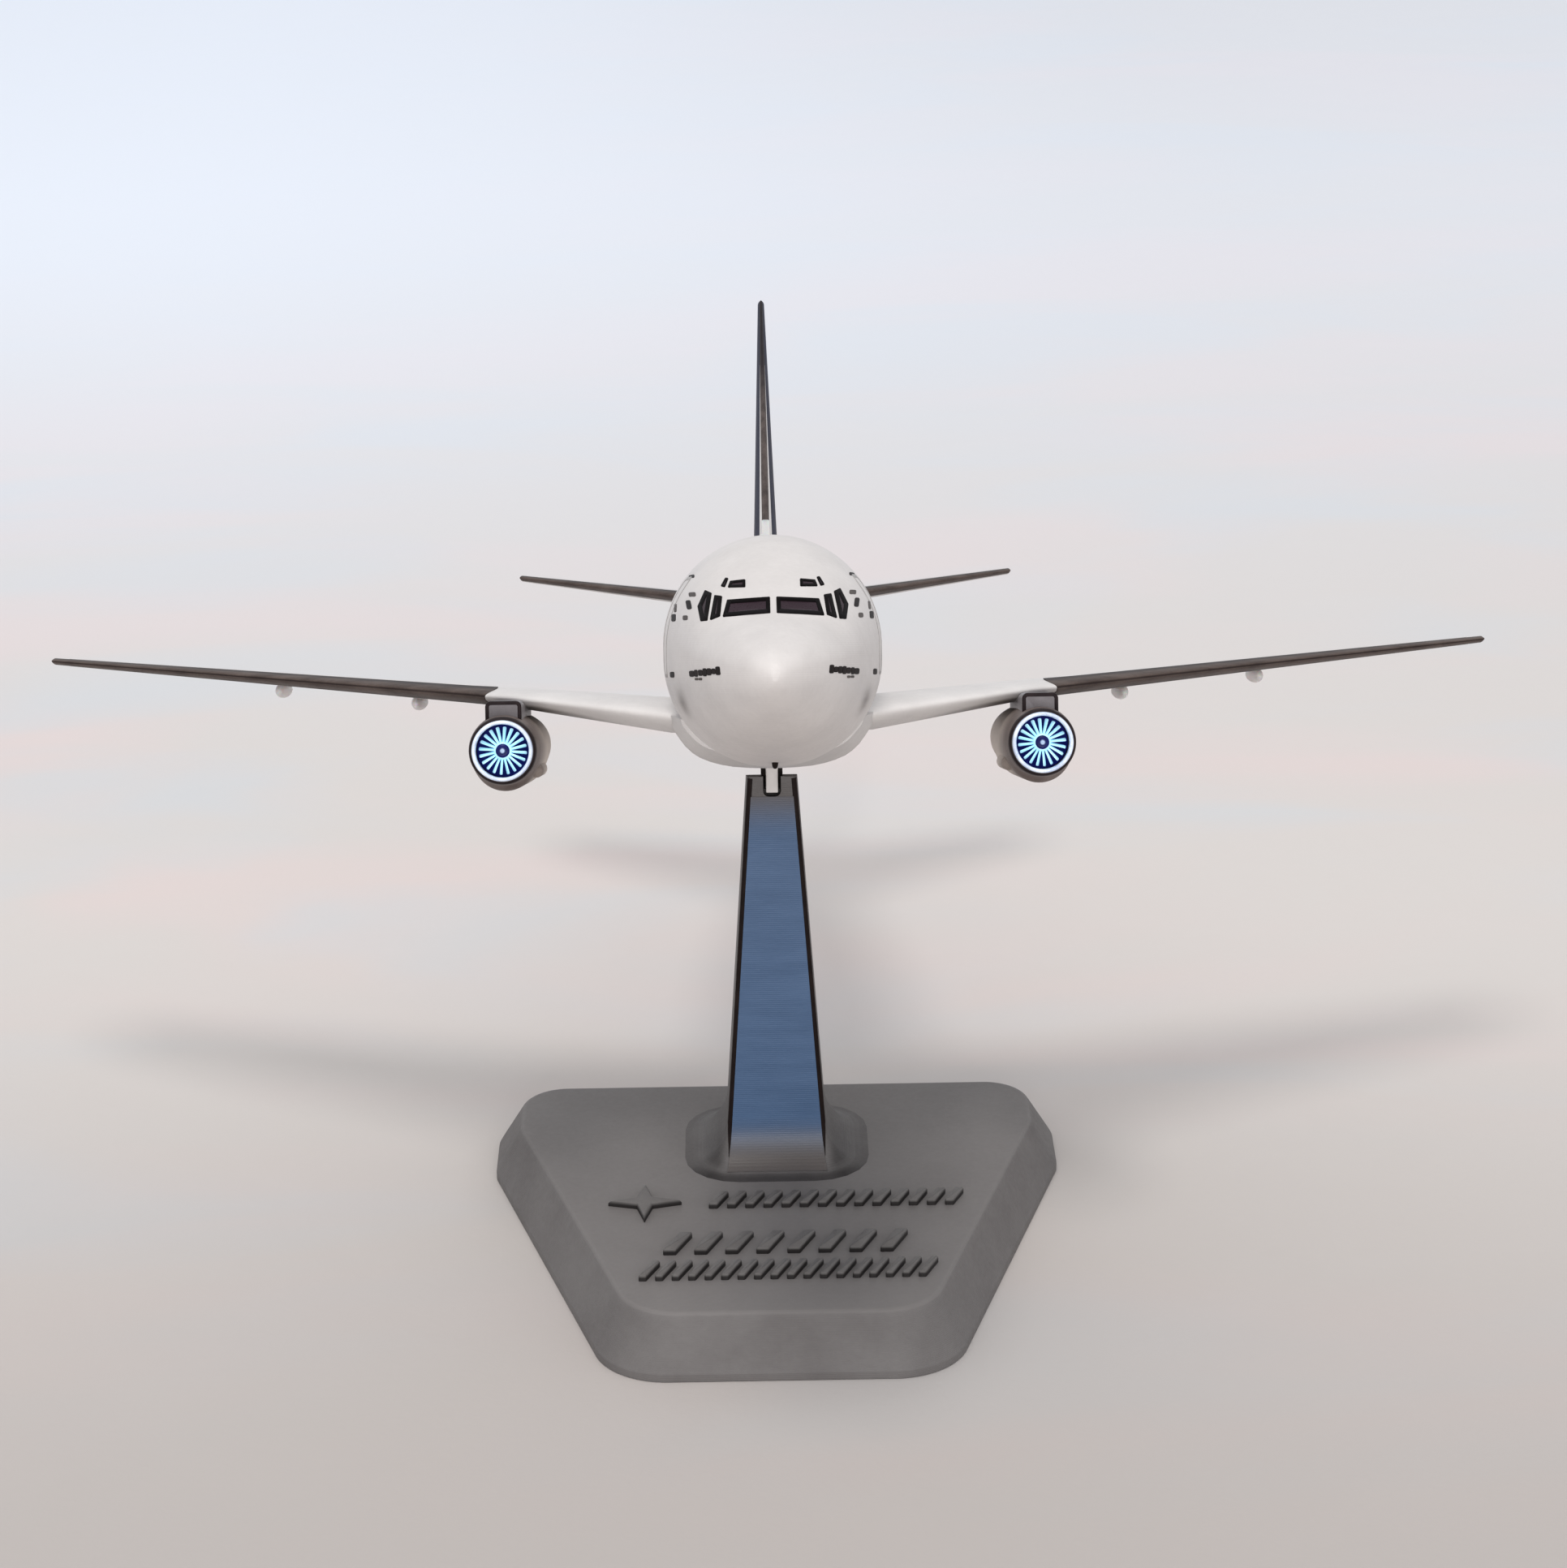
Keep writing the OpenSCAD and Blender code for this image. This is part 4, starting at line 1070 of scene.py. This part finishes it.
for i in range(BLADES):
    turn = 2 * math.pi * (i + 0.3) / BLADES
    rings = []
    for r in (1.02, 1.3, 1.7, 2.1, 2.5, 2.8, 2.95, 3.02, 3.04):
        t = (r - 1.02) / 2.0
        pitch = math.radians(lerp(10, 24, t))
        rounding = 1 if r < 2.9 else math.sqrt(clamp(1 - ((r - 2.9) / 0.15) ** 2)) * 0.8 + 0.2
        chord = lerp(0.8, 0.95, t) * rounding
        thick = lerp(0.26, 0.2, t) * (1 if r < 3.0 else 0.6)
        ring_points = []
        for a in around(14):
            u, v = chord / 2 * math.cos(a), thick / 2 * math.sin(a) * (1.1 + 0.35 * math.cos(a))
            across = u * math.sin(pitch) + v * math.cos(pitch)
            back = 71.8 + clamp(u * math.cos(pitch) - v * math.sin(pitch), -0.49, 0.49)
            x = EX + r * math.cos(turn) - across * math.sin(turn)
            ring_points.append((x, back, EZ + r * math.sin(turn) + across * math.cos(turn)))
        rings.append(ring_points)
    fan.skin(rings)


def fan_tint(x, y, z):
    r = math.hypot(x - EX, z - EZ)
    return clamp(0.35 * (1 - ease(r, 1.0, 1.5)) + 0.45 * ease(y, 71.7, 72.2))


def pin_tint(x, y, z):
    return ease(math.hypot(x - EX, z - EZ), 0.24, 0.36)


nozzle = Shape().turn(
    [(0.02, 111.0), (2.6, 111.0), (2.6, 121.9), (2.64, 121.98), (2.7, 122), (2.76, 121.98), (2.8, 121.9),
     (2.95, 119.5), (3.1, 117.5), (3.18, 116.2), (3.18, 109), (0.02, 109)],
    (EX, EZ), steps=96,
)
plug = Shape().turn(
    [(0.02, 120.6), (0.3, 120.2), (0.8, 118.5), (1.3, 115.5), (1.5, 112.5), (1.5, 111.0), (0.02, 111.0)],
    (EX, EZ), steps=64,
)

PYLON_HALF, PYLON_TOP, PYLON_FRONT = 2.3, -5.75, 74
pylon = Shape()
rings = []
for y in [74, 74.2, 80, 86, 92, 98, 104, 109, 112, 113.6, 114]:
    wide = PYLON_HALF * (1 if y < 98 else lerp(1, 0.55, ease(y, 98, 114)))
    s = section_at(WING_AT, EX)
    c = clamp((y - s[1]) / s[2])
    top = PYLON_TOP
    if y > s[1] + 1.2:
        top = min(top, s[4] - half_thick(c, s[3]) + 0.25)
    corners = [(-wide, EZ + 1.5), (wide, EZ + 1.5), (wide, top), (-wide, top)]
    rings.append([(EX + x, y, z) for x, z in rounded(corners, [0.05, 0.05, 0.75, 0.75], 6)])


def pylon_front(back, d):
    """The front outline, moved in by d and back from the foremost place."""
    wide, top = PYLON_HALF - d, PYLON_TOP - d
    corners = [(-wide, EZ + 1.5), (wide, EZ + 1.5), (wide, top), (-wide, top)]
    around_face = rounded(corners, [0.05, 0.05, 0.75 - d, 0.75 - d], 6)
    return [(EX + x, PYLON_FRONT + back, z) for x, z in around_face]


# A dark band edges the pylon's blunt front face
pylon.skin(rings[1:], 0, caps=False)
pylon.add(rings[-1], [list(range(len(rings[-1])))], 0)
band = [pylon_front(0.05, 0.04), pylon_front(0, 0.12), pylon_front(0, 0.42)]
pylon.skin([rings[1]] + band, 1, caps=False)
face = pylon_front(0.06, 0.5)
pylon.skin([band[-1], face], 1, caps=False)
pylon.add(face, [list(range(len(face)))], 0)

pairs(
    ("cowling", shell, "nacelle_taupe", [TAUPE, LIP], "nacelle", {"tint": nacelle_tint, "crease": 40}),
    ("inlet_lip", ring, "inlet_white", [RING], "inlet_ring", {}),
    ("backplate", backplate, "fan_navy", [WELL], "fan_backplate", {}),
    ("pin", pin, "pin_steel", [STEEL], "fan_pin", {"tint": pin_tint}),
    ("fan_wheel", fan, "fan_pale_blue", [BLADE], "fan", {"tint": fan_tint}),
    ("hub_cap", cap, "fan_navy", [HUB], "spinner", {}),
    ("nozzle", nozzle, "nacelle_taupe", [TAUPE], "exhaust", {}),
    ("exhaust_plug", plug, "nacelle_taupe", [LIP], None, {}),
    ("engine_pylon", pylon, "nacelle_taupe", [PYLON, LIP], "pylon", {"crease": 40}),
)

# ---------------- tailplane, fin, dorsal

stab, stab_edge = Shape(), Shape()
for shape, lo, hi, n in ((stab, 0.12, 1, 22), (stab_edge, 0, 0.117, 14)):
    outline = aerofoil(lo, hi, n)
    rings = []
    for x in [2.4, 8] + span(9.5, 37.6, 18) + tip_stations(TAIL_TIP):
        s = section_at(TAIL_AT, x)
        rings.append([wing_point(s, c, side, 0, max(0.05, tip_of(TAIL_AT, x))) for c, side in outline])
    shape.skin(rings)


def draw_stab_lines(shape):
    face = wing_face(TAIL_AT)
    line(shape, face, (9.5, 0.7), (36.5, 0.7), 0.14)
    for x in (9.5, 36.5):
        line(shape, face, (x, 0.7), (x, 0.98), 0.14)


def stab_tint(x, y, z):
    s = section_at(TAIL_AT, clamp(x, 2.4, TAIL_TIP))
    t = (z - s[4]) / half_thick(0.117, s[3])
    return clamp(0.8 * ease(t, 0.55, 0.95) + 0.7 * ease(-t, 0.6, 0.95))


lines = Shape()
draw_stab_lines(lines)
pairs(
    ("tailplane", stab, "tail_grey", [GREY], "stabiliser", {"crease": 50}),
    (
        "tailplane_edge", stab_edge, "edge_bronze", [BRONZE], "stabiliser_edge",
        {"tint": stab_tint, "crease": 60},
    ),
    ("tailplane_lines", lines, "tail_grey", [SEAM], None, {}),
)


def fin_at(z):
    return section_at(FIN_AT, z)


def fin_point(z, c, side, h=0.0, squeeze=1.0):
    _, y, chord, thickness = fin_at(z)
    return (side * (squeeze * half_thick(c, thickness) + h), y + c * chord, z)


fin, fin_edge = Shape(), Shape()
levels = [10, 14.6] + span(16, 54.3, 26) + tip_stations(FIN_TIP, 5)


def fin_tip(z):
    return max(0.06, tip_of(FIN_AT, z))


fin.skin([[fin_point(z, c, side, 0, fin_tip(z)) for c, side in aerofoil(0.1, 1, 24)] for z in levels])
# The leading edge has a dark middle, a pale strip on each side that runs out upward, then navy
edge_rings = []
for z in levels:
    up = clamp((z - 14.6) / 40.2)
    first = lerp(0.0115, 0.03, up)
    second = lerp(0.040, 0.031, ease(up, 0.0, 0.62))
    marks = [
        0, 0.0008, 0.003, 0.0065, first, lerp(first, second, 0.5), second, lerp(second, 0.097, 0.25),
        lerp(second, 0.097, 0.6), 0.097,
    ]
    ring = [fin_point(z, c, 1, 0, fin_tip(z)) for c in reversed(marks)]
    ring += [fin_point(z, c, -1, 0, fin_tip(z)) for c in marks[1:]]
    edge_rings.append(ring)
n = len(edge_rings[0])
faces, paints = [], []
for r in range(len(edge_rings) - 1):
    up = clamp((levels[r] - 14.6) / 40.2)
    for i in range(n):
        k = min(i, n - 2 - i)
        faces.append([r * n + i, r * n + (i + 1) % n, (r + 1) * n + (i + 1) % n, (r + 1) * n + i])
        paints.append(1 if i == n - 1 or k < 3 else (2 if k < 5 and up < 0.72 else 0))
faces += [list(range(n - 1, -1, -1)), list(range((len(edge_rings) - 1) * n, len(edge_rings) * n))]
fin_edge.points = [p for ring in edge_rings for p in ring]
fin_edge.faces, fin_edge.paint = faces, paints + [0, 0]
make("fin_blade", fin, "livery_navy", [NAVY], ["fin"], crease=50)
make(
    "fin_front", fin_edge, "edge_bronze", [EDGE, NAVY, WING], ["fin_leading_edge"], crease=50,
    tint=lambda x, y, z: 0.85 * ease(z, 36, 46),
)

lines = Shape()
for side in (1, -1):
    for a, b, width in (
        ((16.5, 0.7), (52.5, 0.68), 0.16), ((16.5, 0.7), (16.5, 0.98), 0.16),
        ((52.5, 0.68), (52.5, 0.97), 0.16),
    ):
        line(lines, (fin_point, fin_at), a, b, width, (side,), 20)
make("rudder_lines", lines, "livery_navy", [LIP])

dorsal = Shape()
rings = []
for t in span(0, 1, 24):
    y = 137 + 20.6 * t
    low, high = lerp(13.95, 16.4, clamp((y - 137) / 16.7)), lerp(16.4, 19.7, ease(y, 153.0, 158.2))
    top = low if y < 153.7 else high
    w = lerp(0.5, 0.6, t)
    ring = rounded([(-w, 13.2), (w, 13.2), (w, top), (-w, top)], [0.02, 0.02, 0.3, 0.3], 5)
    # The rear end leans with the fin's leading edge
    rake = ease(y, 154.5, 157.6)
    rings.append([(x, y + rake * (5 * clamp((z - 14.6) / 5.1) - 2), z) for x, z in ring])
dorsal.skin(rings)
make("dorsal_fillet", dorsal, "body_white", [MILK], ["dorsal_fin"], bevel=(0.12, 2, 50, 0))

# Hidden joints keep their exact shape
for node, paint, slot in (
    ("front_joint_sleeve", WHITE, "body_white"), ("rear_joint_sleeve", WHITE, "body_white"),
    ("wing_spar", GREY, "tail_grey"), ("stabiliser_rod", GREY, "tail_grey"),
):
    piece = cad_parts[node]
    piece.data.materials.clear()
    piece.data.materials.append(paint)

# ---------------- stand


HALF_BASE, HALF_FRONT, HALF_DEEP, KNEE_Y = 39.5, 22, 36.8, 20.5


def base_outline(inset):
    """The six-sided outline, moved in by inset."""
    lean = inset / math.cos(math.atan2(HALF_BASE - HALF_FRONT, KNEE_Y + HALF_DEEP))
    front = HALF_FRONT - lean + inset * 0.3
    wide, deep = HALF_BASE - inset, HALF_DEEP - inset
    corners = [(-front, -deep), (front, -deep), (wide, KNEE_Y), (wide, deep), (-wide, deep), (-wide, KNEE_Y)]
    side_r = 10 - inset / 2
    return rounded(corners, [side_r, side_r, 5, 14 - inset, 14 - inset, 5], 16)


base = Shape()
levels = [(0.0, 0.12), (0.12, 0.0), (1.05, 0.0), (1.2, 0.03), (1.32, 0.12)]
levels += [(lerp(1.2, 8.1, t), 3.8 * t) for t in (0.1, 0.3, 0.5, 0.7, 0.85, 0.93)]
levels += [(7.82, 3.68), (7.97, 3.84), (8.06, 4.06), (8.1, 4.35)]
base.skin([[(x, y, z) for x, y in base_outline(inset)] for z, inset in levels])



def base_tint(x, y, z):
    """Painted light: paler on the flat top and towards the front, where light falls."""
    return 0.5 * ease(z, 7.5, 8.0) + 0.15 * ease(-y, 10, 36)


make("base_block", base, "stand_grey", [STONE], ["stand_base"], body="stand", crease=28, tint=base_tint)

BASE_TOP, FOOT_W, TOP_W = 8.1, 14.2, 6.5
FLARE, FLARE_TOP = 5.6, 13.7


def arm_half(z):
    return lerp(FOOT_W, TOP_W, (z - BASE_TOP) / 57.4) / 2


def arm_back(z):
    return FACE_Y + lerp(12.5, 9, (z - BASE_TOP) / 57.4)


def flare_at(z):
    return 0 if z > FLARE_TOP else FLARE - math.sqrt(max(0, FLARE**2 - (FLARE_TOP - z) ** 2))


def arm_ring(z, corner=0.55):
    f = flare_at(z)
    w, y0, y1 = arm_half(z) + f, FACE_Y - f, arm_back(z) + f
    return [(x, y, z) for x, y in rounded([(-w, y0), (w, y0), (w, y1), (-w, y1)], corner + 1.25 * f, 5)]


arm = Shape()
heights = [BASE_TOP + FLARE * (1 - math.cos(math.pi / 2 * k / 22)) for k in range(23)]
arm.skin([arm_ring(8.02)] + [arm_ring(z) for z in heights] + [arm_ring(z) for z in span(14.5, 71.5, 24)])
to_stand = STAND.inverted() @ CRAFT


def craft_box(low, high):
    shape = Shape().box(low, high)
    shape.points = [tuple(to_stand @ Vector(p)) for p in shape.points]
    return shape


slot_tool = Shape()
profile = [(1.15, -12), (1.15, -18.5), (1.05, -18.85), (0.8, -19.1), (0.45, -19.2)]
profile = profile + [(-x, z) for x, z in reversed(profile)]
slot_tool.skin([[tuple(to_stand @ Vector((x, y, z))) for x, z in profile] for y in (90, 102)])


def arm_tint(x, y, z):
    """Painted shade, darker down the flare's hollow sides and along its foot."""
    side = ease(abs(x), arm_half(z) - 0.2, arm_half(z) + 1.2) * ease(-z, -15.5, -10.5)
    foot = ease(-z, -8.6, -8.2) * (1 - 0.9 * ease(y, 4, 9))
    side *= 1 - 0.75 * ease(y, 7, 13)
    return clamp(0.7 * side * (1 - 0.5 * ease(-z, -9.2, -8.4)) + 0.6 * foot)


make(
    "arm_post", arm, "stand_grey", [ARM, BLACK], ["stand_arm"], body="stand",
    tools=[craft_box((-40, 60, -16.5), (40, 150, 40)), slot_tool], bevel=(0.26, 3, 48, 1), crease=40,
    tint=arm_tint,
)
make(
    "arm_neck", craft_box((-1.45, 102, -18.4), (1.45, 106.6, -12.1)), "stand_grey", [BLACK], body="stand",
    bevel=(0.15, 2, 48, 0),
)


# Painted reflection: the blue band fades to the arm's grey at its top and bottom.
def strip_tint(x, y, z):
    high = ease(z, 56.5, 64.4)
    low = 1 - ease(z, 9.4, 15.2)
    return clamp(high + low)


# A blue band down the arm's front face, a painted reflection.
strip = Shape()
rings = []
for z in [8.55, 8.7, 8.9, 9.2, 9.6, 10.1, 10.7, 11.4, 12.2, 13.1] + span(14, 62.6, 40):
    f = flare_at(z)
    w = arm_half(z) - 0.55 + 0.10 * f
    y = FACE_Y - f
    # Lean of the face, to lift the strip along its normal
    up = flare_at(z + 0.05) - f
    n = Vector((0, -0.05, up)).normalized()
    top = 0.05
    rings.append(
        [
            (x, y + n.y * h, z - n.z * h)
            for x, h in (
                (-w, -0.1), (-w + 0.05, top), (-w * 0.5, top), (0, top), (w * 0.5, top), (w - 0.05, top),
                (w, -0.1),
            )
        ]
    )
strip.skin(rings, caps=False, closed=False)
make("arm_blue_face", strip, "arm_blue", [BLUE], ["arm_face_strip"], body="stand", tint=strip_tint)
borders = Shape()
for sx in (-1, 1):
    rings = []
    for z in span(9.9, FLARE_TOP, 12):
        # Down the flare the dark line narrows and runs out
        w, y, k = arm_half(z), FACE_Y - flare_at(z), ease(z, 9.3, FLARE_TOP)
        rings.append(
            [
                (sx * (w - 0.35 - 0.35 * k), y - 0.03, z), (sx * (w - 0.34), y - 0.07, z),
                (sx * (w - 0.33 + 0.26 * k), y + 0.05, z), (sx * (w - 0.32 + 0.30 * k), y + 0.5, z),
                (sx * (w - 0.36), y + 0.6, z),
            ]
        )
    for z in span(14.1, 65.2, 30):
        w = arm_half(z)
        rings.append(
            [
                (sx * (w - 0.70), 8.47, z), (sx * (w - 0.34), 8.42, z), (sx * (w - 0.03), 8.58, z),
                (sx * (w + 0.02), 9.2, z), (sx * (w - 0.3), 9.3, z),
            ]
        )
    borders.skin(rings)
make("arm_dark_corners", borders, "stand_grey", [BLACK], body="stand")

bars = Shape()
for x0, y0, count, pitch, length, high in (
    (-9.5, -4.7, 14, 2.45, 1.3, 3.6), (-15.5, -17.6, 8, 4.1, 1.8, 5.0), (-18.6, -24.6, 18, 2.15, 1.1, 4.2),
):
    lean = 0.45 * high
    for i in range(count):
        x = x0 + i * pitch
        corners = [(x, y0), (x + length, y0), (x + length + lean, y0 + high), (x + lean, y0 + high)]
        foot = rounded(corners, 0.22, 4)
        rings = [[(u, v, 8.0) for u, v in wider(foot, 0.0)]]
        rings += [
            [(u, v, z) for u, v in wider(foot, -d)]
            for z, d in ((8.6, 0.0), (8.82, 0.04), (8.95, 0.12), (9.0, 0.24))
        ]
        bars.skin(rings)


# Painted shade: the sides of the raised bars and star are dark below their tops.
def relief_tint(x, y, z):
    return 0.95 * (1 - ease(z, 8.6, 8.97))


make("relief_bars", bars, "relief_grey", [RAISED], ["base_relief_bars"], body="stand", tint=relief_tint)
STAR_X, STAR_Y = -18, -3.4
star = Shape()
points = []
for i in range(8):
    r, a = (5 if i % 2 == 0 else 1.5), math.pi / 4 * i
    points.append((r * math.cos(a) + STAR_X, r * math.sin(a) + STAR_Y))
rings = []
for z, k in ((8.0, 1), (8.55, 1), (8.8, 0.95), (9.0, 0.8)):
    rings.append([(lerp(STAR_X, x, k), lerp(STAR_Y, y, k), z) for x, y in points])
star.skin(rings)
make(
    "relief_star", star, "relief_grey", [RAISED], ["base_emblem"], body="stand", tint=relief_tint,
    bevel=(0.1, 2, 30, 0),
)

# ---------------- floor, light


def sheet_material():
    """Pale sheet with painted light and shade: warmer and darker in front, paler and bluer behind and to the
    left.
    """
    m, node, set_shader = material("pale_sheet")
    where = node("TexCoord", {}, "Object")

    def noise(scale, stretch, detail=3.0):
        drawn = node("Mapping", {"Vector": where, "Scale": stretch})
        return node(
            "TexNoise", {"Vector": drawn, "Scale": scale, "Detail": detail, "Distortion": 0.6}, "Fac",
        )

    def between(value, a, b, lo=0.0, hi=1.0):
        ends = {"From Min": a, "From Max": b, "To Min": lo, "To Max": hi}
        return node("MapRange", {"Value": value, **ends}, interpolation_type="SMOOTHSTEP")

    across = node("SeparateXYZ", {0: where}, "X")
    along = node("SeparateXYZ", {0: where}, "Y")
    depth = {0: between(along, 0.12, 0.62), 1: between(across, -0.18, 0.16, 1.0, 0.62)}
    warm = blend(node, between(noise(5, (1, 3.2, 1)), 0.42, 0.66), (0.655, 0.615, 0.59), (0.70, 0.61, 0.59))
    cool = blend(node, between(noise(7, (1, 2.6, 1)), 0.45, 0.7), warm, (0.62, 0.625, 0.635))
    # Painted shade makes the front of the sheet darker, and painted light makes it paler and bluer behind
    # and to the left.
    near = blend(node, between(along, -0.13, 0.14), (0.43, 0.395, 0.375), cool)
    colour = blend(node, node("Math", depth, operation="MULTIPLY"), near, (0.85, 0.90, 0.99))
    relief = node("Bump", {"Height": noise(900, (1, 1, 1), 2.0), "Strength": 0.05, "Distance": 0.0005})
    rough = between(noise(60, (1, 1, 1)), 0.3, 0.7, 0.55, 0.7)
    set_shader({"Base Color": colour, "Roughness": rough, "Normal": relief, "Specular IOR Level": 0.3})
    return m


mesh = bpy.data.meshes.new("sheet")
far = 4.0
mesh.from_pydata([(-far, -far, 0), (far, -far, 0), (far, far, 0), (-far, far, 0)], [], [[0, 1, 2, 3]])
mesh.materials.append(sheet_material())
floor = link(bpy.data.objects.new("floor_sheet", mesh))


def lamp(name, place, target, size, power, colour):
    data = bpy.data.lights.new(name, "AREA")
    data.shape, data.size, data.energy, data.color = "DISK", size, power, colour
    o = link(bpy.data.objects.new(name, data))
    o.location = place
    o.rotation_mode = "QUATERNION"
    o.rotation_quaternion = (Vector(target) - Vector(place)).to_track_quat("-Z", "Y")


lamp("key_light", (-0.08, -0.40, 1.05), (0, 0.02, 0.03), 0.24, 4.0, (1.0, 0.965, 0.93))
lamp("front_fill", (0.05, -0.85, 0.10), (0, 0.0, 0.06), 0.50, 3.0, (1.0, 0.97, 0.95))

world = bpy.data.worlds.new("room")
bpy.context.scene.world = world
world.use_nodes = True
world.node_tree.nodes["Background"].inputs["Color"].default_value = (0.96, 0.975, 1.0, 1)
world.node_tree.nodes["Background"].inputs["Strength"].default_value = 0.88

# ---------------- camera

EYE = (-0.00311, -0.5084, 0.27381)
pitch, yaw, roll = (math.radians(v) for v in (22.056, -0.514, 0.719))
ahead_dir = Vector((-math.sin(yaw) * math.cos(pitch), math.cos(yaw) * math.cos(pitch), -math.sin(pitch)))
right_dir = Vector((math.cos(yaw), math.sin(yaw), 0))
down_dir = ahead_dir.cross(right_dir)
right_dir, down_dir = (
    right_dir * math.cos(roll) + down_dir * math.sin(roll),
    down_dir * math.cos(roll) - right_dir * math.sin(roll),
)
data = bpy.data.cameras.new("camera")
camera = link(bpy.data.objects.new("camera", data))
camera.matrix_world = Matrix.Translation(EYE) @ Matrix(
    (right_dir, -down_dir, -ahead_dir)
).transposed().to_4x4()
data.sensor_width = 36
data.lens = 96.5
data.clip_start = 0.01
data.dof.use_dof = False
bpy.context.scene.camera = camera
bpy.context.scene.view_settings.view_transform = "Standard"
